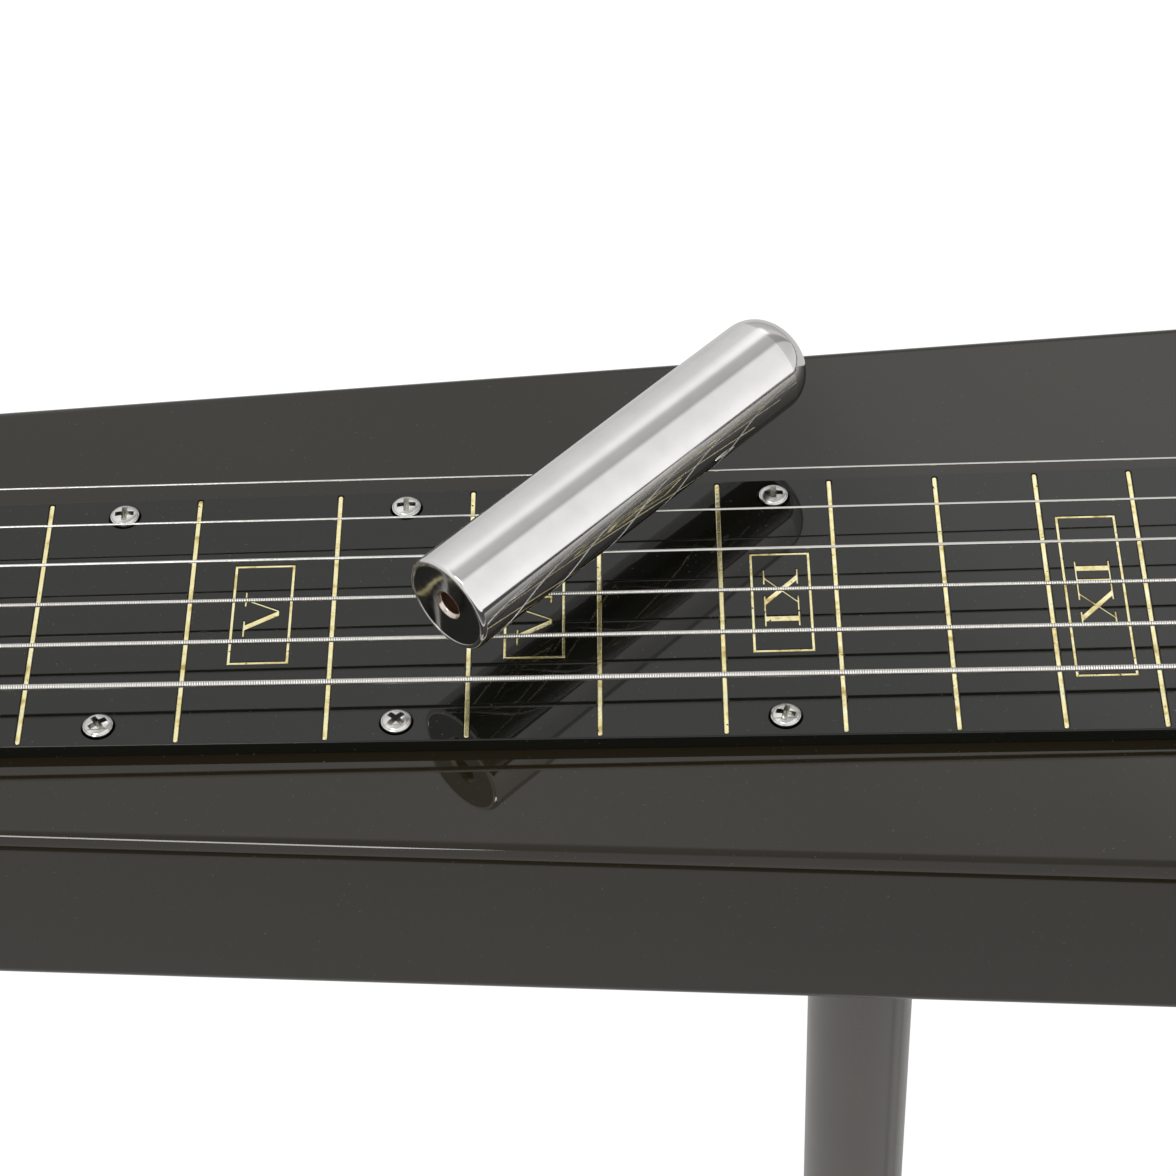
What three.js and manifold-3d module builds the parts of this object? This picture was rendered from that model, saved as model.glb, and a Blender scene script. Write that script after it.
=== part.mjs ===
// Six-string lap steel guitar on three screw-in legs, its tone bar lying on the strings.
// Millimetres. +X runs from the head to the tail, +Y to the treble side, +Z up.
// It is built with its zero on the string centre line, at the nut's front edge, on the
// body's top face, and the last lines move it to stand on its own bounding box's floor.
import * as THREE from "three";
import { mergeVertices } from "three/addons/utils/BufferGeometryUtils.js";
import Module from "manifold-3d";

const wasm = await Module();
wasm.setup();

// Fits and cuts
const seatGap = 0.1; // between two flat faces that rest on each other
const runGap = 0.3; // round a pin, a string or a plug in its hole
const overrun = 2; // how far a cutting tool passes the face that it opens

// Facets
const roundSides = 12;
const smallSides = 8;
const screwHoleSides = 6;
const cornerSteps = 3;

// Strings
const scaleLength = 571.5; // nut to saddle
const stringDiameters = [0.36, 0.43, 0.56, 0.71, 0.86, 1.07]; // treble to bass
const stringSides = 5;
const stringSpanAtNut = 46.8;
const stringSpanAtSaddle = 53;
const stringHeightAtNut = 9.3; // string centre over the fretboard's top face
const stringHeightAtSaddle = 7.8;
const ballDiameter = 3.8;
const ballLength = 3.2;
const windingTurns = 1.75;
const windingSteps = 6; // in each turn round a post
const windingGap = 0.45; // between neighbouring turns

// Fretboard
const boardThickness = 2.6;
const boardWidthAtNut = 56.8;
const boardWidthAtEnd = 65.8;
const boardPastLastFret = 8;
const fretCount = 24;
const fretsPerOctave = 12;
const fretLineWidth = 1.15;
const fretLineDepth = 0.5;
const fretLineMargin = 0.5; // from the line's end to the board's edge
const boardScrewFretCount = [1, 4, 6, 9, 14, 23]; // frets up to each pair of screws
const boardScrewInset = 4.3;
const boardScrewHead = 5.4;
const boardScrewDome = 0.9;
const boardScrewCone = 1.4;
const boardScrewShank = 2.6;
const boardScrewLength = 13;

// Body
const bodyThickness = 38;
const bassHalfAtNut = 41.75; // string centre line to the body's bass side
const trebleHalfAtNut = 52.8;
const bassHalfAtSaddle = 79;
const trebleHalfAtSaddle = 91.4;
const bodyPastSaddle = 70;
const bodyEdgeRadius = 3;
const edgeSteps = 3;
const tailCornerRadius = 30;
const shoulderRadius = 10;
const shoulderFromNut = 3; // front face of the body past the nut's back

// Head
const headLength = 146; // from the nut's front edge
const headHalfWidth = 39;
const headThickness = 15;
const headDrop = 16; // body's top face down to the head's
const headCornerRadius = 12;
const headEdgeRadius = 2;
const headLap = 30; // how far the head's slab runs into the body
const coveRadius = 11;
const coveSteps = 4;

// Nut and saddle
const nutDepth = 6;
const nutWidth = 55;
const saddleDepth = 6;
const saddleWidth = 64;
const saddleSteps = 4;

// Tuners
const tunerFirst = 44; // nut to the nearest post
const tunerPitch = 38;
const tunersPerSide = 3;
const postInset = 12.5; // head's side to the post's axis
const postDiameter = 6;
const postWaist = 5;
const postFlange = 8.6;
const postFlangeHeight = 1.6;
const postCap = 7;
const postHeight = 18.5; // over the head's top face
const windingHeight = 13;
const postHole = 1.5;
const plateThickness = 1.2;
const plateHalfWidth = 8.6;
const plateEnd = 11; // past the outermost post
const plateCorner = 3;
const gearTeeth = 14;
const gearModule = 0.75;
const gearThickness = 4;
const gearAddendum = 0.65;
const wormPitchRadius = 3;
const meshClearance = 0.35; // tooth tip to the root that it faces
const backlash = 0.4; // along the worm, thread and tooth together
const wormTurns = 2;
const wormSteps = 6; // in each turn of the thread
const pressureAngle = THREE.MathUtils.degToRad(20);
const earThickness = 1.6;
const earHalfWidth = 3.4;
const earSpacing = 12.2; // outside face to outside face
const shaftDiameter = 3.2;
const keyReach = 12; // head's side to the key's tip, less the key's own length
const keyLength = 16;
const keyWidth = 13.5;
const keyThickness = 5;
const keyBevel = 1.4;
const keyWaistShare = 0.42; // neck width as a share of the key's width

// Bridge
const bridgeLength = 66;
const bridgeWidth = 84;
const bridgePlate = 2.4;
const bridgeCorner = 6;
const bridgeAheadOfSaddle = 16;
const anchorFromSaddle = 42;
const anchorWidth = 66;
const anchorTop = 14.5;
const anchorHole = 1.8; // diameter
const anchorHoleHeight = 8.4; // over the body's top face

// Pickup
const pickupFromSaddle = 59.5; // its centre
const pickupLength = 38;
const pickupWidth = 90;
const pickupCorner = 5;
const pickupTop = 7.2; // over the body's top face
const pickupWall = 1.5;
const pickupEdge = 1.2;
const routDepth = 13;
const routGap = 0.6;
const coilInset = 5; // cover's side to the coil's
const coilTopGap = 0.4;
const coilPlate = 2;
const poleDiameter = 4.8;
const poleProud = 1;

// Controls
const cavityFromSaddle = 23.5; // its head end ahead of the saddle
const cavityLength = 76;
const cavityBassY = 18;
const cavityTrebleY = 80;
const cavityCorner = 9;
const cavityRoof = 6;
const coverLip = 8; // past the cavity's edge
const coverThickness = 2;
const potInset = 14; // cavity's head end to the first pot
const potSpacing = 45;
const potY = 66;
const potDiameter = 24;
const potHeight = 9;
const potBushing = 9.5;
const potBushingHeight = 4.4; // over the body's top face
const potNut = 13;
const potNutHeight = 2;
const potShaft = 6;
const knobDiameter = 19;
const knobHeight = 15.5;
const knobTopRound = 2;
const knobSkirt = 22;
const knobSkirtHeight = 3;
const knobRoof = 3;
const wireChannel = 6;

// Jack
const jackY = 36;
const jackDepth = 19; // centre below the body's top face
const jackPlateSide = 30;
const jackPlateThickness = 1.6;
const jackPlateCorner = 6;
const jackBore = 6.8;
const jackBarrel = 9.5;
const jackFlange = 17;
const jackFlangeThickness = 3;
const jackInside = 13;
const jackNut = 13.6;
const jackNutThickness = 2.6;
const jackLip = 1.6;
const jackHole = 20;

// Legs
const frontLegFromSaddle = 332.5;
const rearLegFromSaddle = 93.5;
const rearLegSpread = 120;
const legDiameter = 21;
const legWall = 1.5;
const bodyUnderside = 640; // over the floor
const socketFlange = 54;
const socketPlate = 3;
const socketBoss = 30;
const socketHeight = 20;
const socketBore = 17;
const studLength = 15;
const studWall = 3;
const footDiameter = 29;
const footTop = 25;
const footHeight = 32;
const footFloor = 6;
const footRound = 2;

// Tone bar
const barDiameter = 18;
const barLength = 85.5;
const barNoseRound = 6.6;
const barEndX = 164.8; // its flat end
const barEndY = -16.4;
const barTurn = THREE.MathUtils.degToRad(46.1);
const barRim = 1;
const barDish = 0.7;
const barHole = 4;
const barHoleDepth = 5;
const barSides = 24;
const noseSteps = 5;

// Finishes
function finish(color, roughness, metalness) {
  return new THREE.MeshStandardMaterial({ color, roughness, metalness });
}
const blackLacquer = finish(0x2a2826, 0.12, 0);
const blackAcrylic = finish(0x161616, 0.08, 0);
const blackPlastic = finish(0x1b1b1c, 0.4, 0);
const chrome = finish(0xd9dadb, 0.08, 1);
const nickel = finish(0xb9b6ae, 0.25, 1);
const steelString = finish(0xc4c4c2, 0.3, 1);
const darkTube = finish(0x5d5b58, 0.3, 0.6);
const rubber = finish(0x151515, 0.9, 0);
const copperCoil = finish(0x2b1a12, 0.6, 0);

// Placing, joining and cutting

// A closed geometry as a solid that can be joined and cut.
function solid(geometry) {
  const bare = new THREE.BufferGeometry();
  bare.setAttribute("position", geometry.getAttribute("position"));
  bare.setIndex(geometry.index);
  const merged = mergeVertices(bare);
  return new wasm.Manifold(
    new wasm.Mesh({
      numProp: 3,
      vertProperties: merged.attributes.position.array,
      triVerts: new Uint32Array(merged.index.array),
    }),
  );
}

function geometryOf(made) {
  const mesh = made.getMesh();
  const geometry = new THREE.BufferGeometry();
  geometry.setAttribute("position", new THREE.BufferAttribute(mesh.vertProperties, 3));
  geometry.setIndex(new THREE.BufferAttribute(mesh.triVerts, 1));
  return geometry;
}

function join(...geometries) {
  return geometryOf(geometries.map(solid).reduce((whole, piece) => whole.add(piece)));
}

function cut(geometry, ...tools) {
  return geometryOf(tools.map(solid).reduce((whole, tool) => whole.subtract(tool), solid(geometry)));
}

// A profile of [radius, height] turned round the Z axis.
function turned(profile, sides) {
  const points = profile.map(([radius, height]) => new THREE.Vector2(radius, height));
  return new THREE.LatheGeometry(points, sides).rotateX(Math.PI / 2);
}

function rod(radius, from, to, sides = roundSides) {
  return turned([[0, from], [radius, from], [radius, to], [0, to]], sides);
}

// The same rod lying along X or Y.
function rodAlongX(radius, from, to, sides) {
  return rod(radius, from, to, sides).rotateY(Math.PI / 2);
}
function rodAlongY(radius, from, to, sides) {
  return rod(radius, from, to, sides).rotateX(-Math.PI / 2);
}

function block(x0, x1, y0, y1, z0, z1) {
  const box = new THREE.BoxGeometry(x1 - x0, y1 - y0, z1 - z0);
  return box.translate((x0 + x1) / 2, (y0 + y1) / 2, (z0 + z1) / 2);
}

// A closed outline of corners [x, y, radius], each rounded by an arc.
function roundedShape(corners) {
  const shape = new THREE.Shape();
  corners.forEach(([x, y, radius], i) => {
    const here = new THREE.Vector2(x, y);
    const toward = (corner) => new THREE.Vector2(corner[0], corner[1]).sub(here).normalize();
    const back = toward(corners.at(i - 1));
    const ahead = toward(corners[(i + 1) % corners.length]);
    if (radius === 0) {
      if (i === 0) shape.moveTo(x, y);
      else shape.lineTo(x, y);
      return;
    }
    const half = Math.acos(back.dot(ahead)) / 2;
    const centre = back.clone().add(ahead).setLength(radius / Math.sin(half)).add(here);
    const start = back.clone().setLength(radius / Math.tan(half)).add(here);
    const end = ahead.clone().setLength(radius / Math.tan(half)).add(here);
    if (i === 0) shape.moveTo(start.x, start.y);
    const angleTo = (point) => Math.atan2(point.y - centre.y, point.x - centre.x);
    const clockwise = back.cross(ahead) > 0;
    shape.absarc(centre.x, centre.y, radius, angleTo(start), angleTo(end), clockwise);
  });
  shape.closePath();
  return shape;
}

function roundedBlock(x0, x1, y0, y1, z0, z1, radius) {
  const corners = [[x0, y0, radius], [x1, y0, radius], [x1, y1, radius], [x0, y1, radius]];
  return prism(roundedShape(corners), z0, z1);
}

function prism(shape, z0, z1, curveSegments = cornerSteps) {
  const options = { depth: z1 - z0, bevelEnabled: false, curveSegments };
  return new THREE.ExtrudeGeometry(shape, options).translate(0, 0, z0);
}

// A slab whose top and bottom edges are rounded over.
function softSlab(shape, z0, z1, radius, bevelSegments, curveSegments = cornerSteps) {
  const options = {
    depth: z1 - z0 - 2 * radius,
    bevelSize: radius,
    bevelThickness: radius,
    bevelOffset: -radius,
    bevelSegments,
    curveSegments,
  };
  return new THREE.ExtrudeGeometry(shape, options).translate(0, 0, z0 + radius);
}

// The assembly
const guitar = new THREE.Group();

function mount(name, geometry, material, x = 0, y = 0, z = 0) {
  const mesh = new THREE.Mesh(geometry, material);
  mesh.name = name;
  mesh.position.set(x, y, z);
  guitar.add(mesh);
  return mesh;
}

// Places that several pieces share
const fretX = (fret) => scaleLength * (1 - 2 ** (-fret / fretsPerOctave));
const along = (x, atNut, atSaddle) => atNut + ((atSaddle - atNut) * x) / scaleLength;
const bassEdge = (x) => -along(x, bassHalfAtNut, bassHalfAtSaddle);
const trebleEdge = (x) => along(x, trebleHalfAtNut, trebleHalfAtSaddle);
const boardTop = seatGap + boardThickness;
const boardStart = seatGap;
const boardEnd = fretX(fretCount) + boardPastLastFret;
const boardHalf = (x) =>
  (boardWidthAtNut + ((boardWidthAtEnd - boardWidthAtNut) * x) / boardEnd) / 2;
const stringZ = (x) => boardTop + along(x, stringHeightAtNut, stringHeightAtSaddle);
const stringShare = (n) => 0.5 - n / (stringDiameters.length - 1); // place across the span
const stringY = (n, x) => stringShare(n) * along(x, stringSpanAtNut, stringSpanAtSaddle);
const bodyFront = -nutDepth - seatGap - shoulderFromNut;
const tailX = scaleLength + bodyPastSaddle;
const headTop = -headDrop;
const headBottom = headTop - headThickness;
const pickupCentreX = scaleLength - pickupFromSaddle;
const coilLength = pickupLength - 2 * coilInset;
const coilWidth = pickupWidth - 2 * coilInset;
const cavityStartX = scaleLength - cavityFromSaddle;
const cavityEndX = cavityStartX + cavityLength;
const potX = [cavityStartX + potInset, cavityStartX + potInset + potSpacing];
const frontLegX = scaleLength - frontLegFromSaddle;
const rearLegX = scaleLength - rearLegFromSaddle;
const bodyMidY = (x) => (bassEdge(x) + trebleEdge(x)) / 2;
const floorZ = -bodyThickness - bodyUnderside;
const boardScrewPlaces = boardScrewFretCount.flatMap((fret) => {
  const x = (fretX(fret - 1) + fretX(fret)) / 2;
  const y = boardHalf(x) - boardScrewInset;
  return [[x, -y], [x, y]];
});

// The tuners stand in two rows. Strings 1 to 3 go to the treble row and 4 to 6 to the bass
// row, and the outer strings to the posts nearest the nut.
const plateBottom = headBottom - seatGap - plateThickness;
const wormZ = plateBottom - runGap - wormPitchRadius - gearAddendum;
const tunerPlaces = stringDiameters.map((diameter, n) => {
  const treble = n < tunersPerSide;
  const rank = treble ? n : stringDiameters.length - 1 - n;
  const side = treble ? 1 : -1;
  return { side, rank, x: -tunerFirst - rank * tunerPitch, y: side * (headHalfWidth - postInset) };
});

// Where each string meets its post's inner side, and where its winding ends at the hole.
const nutBack = -nutDepth - runGap;

function winding(n) {
  const { side, x, y } = tunerPlaces[n];
  const radius = postDiameter / 2 + runGap + stringDiameters[n] / 2;
  const reach = Math.hypot(nutBack - x, stringY(n, 0) - y);
  const bearing = Math.atan2(stringY(n, 0) - y, nutBack - x);
  const start = bearing - side * Math.acos(radius / reach);
  return { side, x, y, radius, start, end: start - side * 2 * Math.PI * windingTurns };
}

// Body: one solid slab that widens from the head to the tail, with a thinner head stepped
// down in front of the nut so that the strings bend over it.
function bodyBlank() {
  const slab = softSlab(
    roundedShape([
      [bodyFront, bassEdge(bodyFront), shoulderRadius],
      [tailX, bassEdge(tailX), tailCornerRadius],
      [tailX, trebleEdge(tailX), tailCornerRadius],
      [bodyFront, trebleEdge(bodyFront), shoulderRadius],
    ]),
    -bodyThickness,
    0,
    bodyEdgeRadius,
    edgeSteps,
  );
  const head = softSlab(
    roundedShape([
      [-headLength, -headHalfWidth, headCornerRadius],
      [bodyFront + headLap, -headHalfWidth, 0],
      [bodyFront + headLap, headHalfWidth, 0],
      [-headLength, headHalfWidth, headCornerRadius],
    ]),
    headBottom,
    headTop,
    headEdgeRadius,
    edgeSteps - 1,
  );
  return join(slab, head, cove());
}

// The concave fillet from the head's top face up to the body's front face.
function cove() {
  const shape = new THREE.Shape();
  const lap = shoulderRadius / 2;
  shape.moveTo(bodyFront + lap, headTop - lap);
  shape.lineTo(bodyFront + lap, headTop + coveRadius);
  shape.lineTo(bodyFront, headTop + coveRadius);
  shape.absarc(bodyFront - coveRadius, headTop + coveRadius, coveRadius, 0, -Math.PI / 2, true);
  shape.lineTo(bodyFront - coveRadius, headTop - lap);
  shape.closePath();
  const half = headHalfWidth - headEdgeRadius;
  return prism(shape, -half, half, coveSteps).rotateX(Math.PI / 2);
}

function cavity(lip, z0, z1) {
  return roundedBlock(
    cavityStartX - lip,
    cavityEndX + lip,
    cavityBassY - lip,
    cavityTrebleY + lip,
    z0,
    z1,
    cavityCorner,
  );
}

function pickupRout() {
  const halfLength = pickupLength / 2 + routGap;
  const halfWidth = pickupWidth / 2 + routGap;
  return roundedBlock(
    pickupCentreX - halfLength,
    pickupCentreX + halfLength,
    -halfWidth,
    halfWidth,
    -routDepth,
    overrun,
    pickupCorner + routGap,
  );
}

function bodyCuts() {
  const postHoles = tunerPlaces.map(({ x, y }) =>
    rod(postDiameter / 2 + runGap, headBottom - overrun, headTop + overrun).translate(x, y, 0),
  );
  const screwHoles = boardScrewPlaces.map(([x, y]) =>
    rod(boardScrewShank / 2 + runGap, -boardScrewLength, overrun, screwHoleSides).translate(x, y, 0),
  );
  const potHoles = potX.map((x) =>
    rod(potBushing / 2 + runGap, -cavityRoof - overrun, overrun).translate(x, potY, 0),
  );
  const jackHoleFrom = cavityEndX - cavityCorner;
  const jackCut = rodAlongX(jackHole / 2, jackHoleFrom, tailX + overrun);
  const channel = rodAlongX(wireChannel / 2, pickupCentreX, cavityStartX + cavityCorner, smallSides);
  return [
    ...postHoles,
    ...screwHoles,
    ...potHoles,
    pickupRout(),
    cavity(0, -bodyThickness - overrun, -cavityRoof),
    cavity(coverLip, -bodyThickness - overrun, -bodyThickness + coverThickness + seatGap),
    jackCut.translate(0, jackY, -jackDepth),
    channel.translate(0, cavityBassY + cavityCorner, -(routDepth + cavityRoof) / 2),
  ];
}

mount("body", cut(bodyBlank(), ...bodyCuts()), blackLacquer);

// Fretboard: an acrylic plate with a milled line for each fret and countersunk screw holes.
function fretLine(fret) {
  const x = fretX(fret);
  const half = boardHalf(x) - fretLineMargin;
  const width = fretLineWidth / 2;
  return block(x - width, x + width, -half, half, boardThickness - fretLineDepth, boardThickness + overrun);
}

function fretboard() {
  const shape = roundedShape([
    [boardStart, -boardHalf(boardStart), 0],
    [boardEnd, -boardHalf(boardEnd), 0],
    [boardEnd, boardHalf(boardEnd), 0],
    [boardStart, boardHalf(boardStart), 0],
  ]);
  const frets = Array.from({ length: fretCount }, (_, i) => fretLine(i + 1));
  const holes = boardScrewPlaces.map(([x, y]) => {
    const head = boardScrewHead / 2 + runGap;
    const shank = boardScrewShank / 2 + runGap;
    const profile = [
      [0, -overrun],
      [shank, -overrun],
      [shank, boardThickness - boardScrewCone],
      [head, boardThickness],
      [head, boardThickness + overrun],
      [0, boardThickness + overrun],
    ];
    return turned(profile, smallSides).translate(x, y, 0);
  });
  return cut(prism(shape, 0, boardThickness), ...frets, ...holes);
}

mount("fretboard", fretboard(), blackAcrylic, 0, 0, seatGap);

// Fretboard screws: oval heads on a countersunk cone.
function boardScrew() {
  const head = boardScrewHead / 2;
  const shank = boardScrewShank / 2;
  const domeShare = 0.62; // radius of the dome's shoulder
  return turned(
    [
      [0, -boardScrewLength + seatGap + runGap],
      [shank, -boardScrewLength + seatGap + runGap],
      [shank, boardThickness - boardScrewCone],
      [head, boardThickness],
      [head * domeShare, boardThickness + boardScrewDome * domeShare],
      [0, boardThickness + boardScrewDome],
    ],
    smallSides,
  );
}

boardScrewPlaces.forEach(([x, y], i) => {
  const rank = Math.floor(i / 2) + 1;
  const side = i % 2 ? "treble" : "bass";
  mount(`fretboard_screw_${side}_${rank}`, boardScrew(), nickel, x, y, seatGap);
});

// Nut: a metal bar with a half-round slot for each string.
function stringSlots(x0, x1) {
  return stringDiameters.map((diameter, n) => {
    const centre = (x0 + x1) / 2;
    const radius = diameter / 2 + runGap;
    return rodAlongX(radius, x0 - overrun, x1 + overrun, smallSides).translate(
      0,
      stringY(n, centre),
      stringZ(centre),
    );
  });
}

function nut() {
  const bevel = nutDepth / 4;
  const top = stringZ(0);
  const shape = roundedShape([
    [-nutDepth, seatGap, 0],
    [0, seatGap, 0],
    [0, top, 0],
    [-nutDepth + bevel, top, 0],
    [-nutDepth, top - bevel, 0],
  ]);
  const bar = prism(shape, -nutWidth / 2, nutWidth / 2).rotateX(Math.PI / 2);
  return cut(bar, ...stringSlots(-nutDepth, 0));
}

mount("nut", nut(), chrome);

// Saddle: a bar with a round top that stands on the bridge plate.
function saddle() {
  const radius = saddleDepth / 2;
  const top = stringZ(scaleLength);
  const shape = new THREE.Shape();
  shape.moveTo(scaleLength - radius, bridgePlate + 2 * seatGap);
  shape.lineTo(scaleLength + radius, bridgePlate + 2 * seatGap);
  shape.lineTo(scaleLength + radius, top - radius);
  shape.absarc(scaleLength, top - radius, radius, 0, Math.PI, false);
  shape.closePath();
  const bar = prism(shape, -saddleWidth / 2, saddleWidth / 2, saddleSteps).rotateX(Math.PI / 2);
  return cut(bar, ...stringSlots(scaleLength - radius, scaleLength + radius));
}

mount("bridge_saddle", saddle(), chrome);

// Bridge plate: a flat base and a rear wall, drilled for the strings.
const anchorX = scaleLength + anchorFromSaddle;

function bridge() {
  const start = scaleLength - bridgeAheadOfSaddle;
  const half = bridgeWidth / 2;
  const base = roundedBlock(start, start + bridgeLength, -half, half, seatGap, seatGap + bridgePlate, bridgeCorner);
  const wallFoot = seatGap + bridgePlate / 2;
  const wallCorners = [
    [-anchorWidth / 2, wallFoot, 0],
    [anchorWidth / 2, wallFoot, 0],
    [anchorWidth / 2, anchorTop, bridgeCorner],
    [-anchorWidth / 2, anchorTop, bridgeCorner],
  ];
  const wall = prism(roundedShape(wallCorners), 0, bridgePlate)
    .rotateX(Math.PI / 2)
    .rotateZ(Math.PI / 2)
    .translate(anchorX, 0, 0);
  const holes = stringDiameters.map((diameter, n) =>
    rodAlongX(anchorHole / 2, anchorX - overrun, anchorX + bridgePlate + overrun, smallSides).translate(
      0,
      stringY(n, scaleLength),
      anchorHoleHeight,
    ),
  );
  return cut(join(base, wall), ...holes);
}

mount("bridge_plate", bridge(), chrome);

// Pickup: a coil on its plate with six pole pieces, under a moulded cover.
const coilTop = pickupTop - pickupWall - coilTopGap;

function poleTools(radius, z0, z1, sides) {
  return stringDiameters.map((diameter, n) =>
    rod(radius, z0, z1, sides).translate(pickupCentreX, stringY(n, pickupCentreX), 0),
  );
}

function pickupCoil() {
  const plateBase = -routDepth + seatGap;
  const halfLength = coilLength / 2;
  const halfWidth = coilWidth / 2;
  const plateLip = (pickupLength - 2 * pickupWall) / 2 - runGap - halfLength;
  const plate = roundedBlock(
    pickupCentreX - halfLength - plateLip,
    pickupCentreX + halfLength + plateLip,
    -halfWidth - plateLip,
    halfWidth + plateLip,
    plateBase,
    plateBase + coilPlate,
    pickupCorner / 2,
  );
  const coil = roundedBlock(
    pickupCentreX - halfLength,
    pickupCentreX + halfLength,
    -halfWidth,
    halfWidth,
    plateBase + coilPlate / 2,
    coilTop,
    pickupCorner,
  );
  const poles = poleTools(poleDiameter / 2, coilTop - coilPlate, pickupTop + poleProud, smallSides);
  return join(plate, coil, ...poles);
}

function pickupCover() {
  const halfLength = pickupLength / 2;
  const halfWidth = pickupWidth / 2;
  const outline = (inset, radius) =>
    roundedShape([
      [pickupCentreX - halfLength + inset, -halfWidth + inset, radius],
      [pickupCentreX + halfLength - inset, -halfWidth + inset, radius],
      [pickupCentreX + halfLength - inset, halfWidth - inset, radius],
      [pickupCentreX - halfLength + inset, halfWidth - inset, radius],
    ]);
  const bottom = -routDepth + seatGap;
  const shell = softSlab(outline(0, pickupCorner), bottom - pickupEdge, pickupTop, pickupEdge, 1);
  const skirtCut = block(
    pickupCentreX - pickupLength,
    pickupCentreX + pickupLength,
    -pickupWidth,
    pickupWidth,
    bottom - 2 * overrun,
    bottom,
  );
  const inside = prism(outline(pickupWall, pickupCorner - pickupWall), bottom - overrun, pickupTop - pickupWall);
  const holes = poleTools(poleDiameter / 2 + runGap, coilTop, pickupTop + overrun, smallSides);
  return cut(shell, skirtCut, inside, ...holes);
}

mount("pickup_coil", pickupCoil(), copperCoil);
mount("pickup_cover", pickupCover(), blackPlastic);

// Controls: two potentiometers under the top, each with a turning shaft and a knob.
function pot() {
  const bore = potShaft / 2 + runGap;
  const shoulder = -cavityRoof - seatGap;
  const nutFoot = seatGap;
  return turned(
    [
      [0, shoulder - potHeight],
      [potDiameter / 2, shoulder - potHeight],
      [potDiameter / 2, shoulder],
      [potBushing / 2, shoulder],
      [potBushing / 2, nutFoot],
      [potNut / 2, nutFoot],
      [potNut / 2, nutFoot + potNutHeight],
      [potBushing / 2, nutFoot + potNutHeight],
      [potBushing / 2, potBushingHeight],
      [bore, potBushingHeight],
      [bore, shoulder - potHeight / 2],
      [0, shoulder - potHeight / 2],
    ],
    roundSides,
  );
}

const knobFoot = potBushingHeight + runGap;
const knobBoreRoof = knobFoot + knobHeight - knobRoof;

function knob() {
  const radius = knobDiameter / 2;
  const bore = potShaft / 2 + runGap;
  const top = knobFoot + knobHeight;
  return turned(
    [
      [bore, knobFoot],
      [knobSkirt / 2, knobFoot],
      [knobSkirt / 2, knobFoot + knobSkirtHeight / 2],
      [radius, knobFoot + knobSkirtHeight],
      [radius, top - knobTopRound],
      [radius - knobTopRound / 2, top - knobTopRound / 4],
      [radius - 2 * knobTopRound, top],
      [0, top],
      [0, knobBoreRoof],
      [bore, knobBoreRoof],
      [bore, knobFoot],
    ],
    roundSides,
  );
}

["volume", "tone"].forEach((name, i) => {
  const shaftFoot = -cavityRoof - seatGap - potHeight / 2 + runGap;
  mount(`${name}_pot`, pot(), nickel, potX[i], potY);
  mount(`${name}_shaft`, rod(potShaft / 2, shaftFoot, knobBoreRoof - runGap), nickel, potX[i], potY);
  mount(`${name}_knob`, knob(), chrome, potX[i], potY);
});

// Rear cover: it closes the control cavity, flush with the underside.
const coverInset = coverLip - runGap;
mount("rear_cover", cavity(coverInset, -bodyThickness, -bodyThickness + coverThickness), blackPlastic);

// Output jack on the tail: a square plate, and a barrel clamped through it by its nut.
// Both are built along +X, with zero on the tail face.
function jackPlate() {
  const half = jackPlateSide / 2;
  const hole = jackBarrel / 2 + runGap;
  const plate = roundedBlock(-half, half, -half, half, seatGap, seatGap + jackPlateThickness, jackPlateCorner);
  return cut(plate, rod(hole, -overrun, jackPlateThickness + overrun)).rotateY(Math.PI / 2);
}

function jackSocket() {
  const bore = jackBore / 2;
  const barrel = jackBarrel / 2;
  const plateFront = 2 * seatGap + jackPlateThickness;
  const socket = turned(
    [
      [bore, -jackInside],
      [barrel, -jackInside],
      [barrel, -jackFlangeThickness],
      [jackFlange / 2, -jackFlangeThickness],
      [jackFlange / 2, 0],
      [barrel, 0],
      [barrel, plateFront + jackNutThickness + jackLip],
      [bore, plateFront + jackNutThickness + jackLip],
      [bore, -jackInside],
    ],
    roundSides,
  );
  const nutRing = cut(
    rod(jackNut / 2, plateFront, plateFront + jackNutThickness, 6),
    rod((bore + barrel) / 2, 0, tailX),
  );
  return join(socket, nutRing).rotateY(Math.PI / 2);
}

mount("jack_plate", jackPlate(), chrome, tailX, jackY, -jackDepth);
mount("jack_socket", jackSocket(), nickel, tailX, jackY, -jackDepth);

// Tuners: three on a plate at each side, with an open worm and wheel under the head.
const gearPitchRadius = (gearModule * gearTeeth) / 2;
const wormPitch = Math.PI * gearModule;
const gearTip = gearPitchRadius + gearAddendum;
const gearRoot = gearPitchRadius - gearAddendum - meshClearance;
const wormTip = wormPitchRadius + gearAddendum;
const wormRoot = wormPitchRadius - gearAddendum - meshClearance;
const meshDistance = gearPitchRadius + wormPitchRadius;
const toothHalf = wormPitch / 4 - backlash / 4; // half a tooth's width on the pitch line

// Half the angle that an involute tooth fills at a radius.
function toothAngle(radius) {
  const involute = (angle) => Math.tan(angle) - angle;
  const base = gearPitchRadius * Math.cos(pressureAngle);
  const here = radius > base ? involute(Math.acos(base / radius)) : 0;
  return toothHalf / gearPitchRadius + involute(pressureAngle) - here;
}

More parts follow.
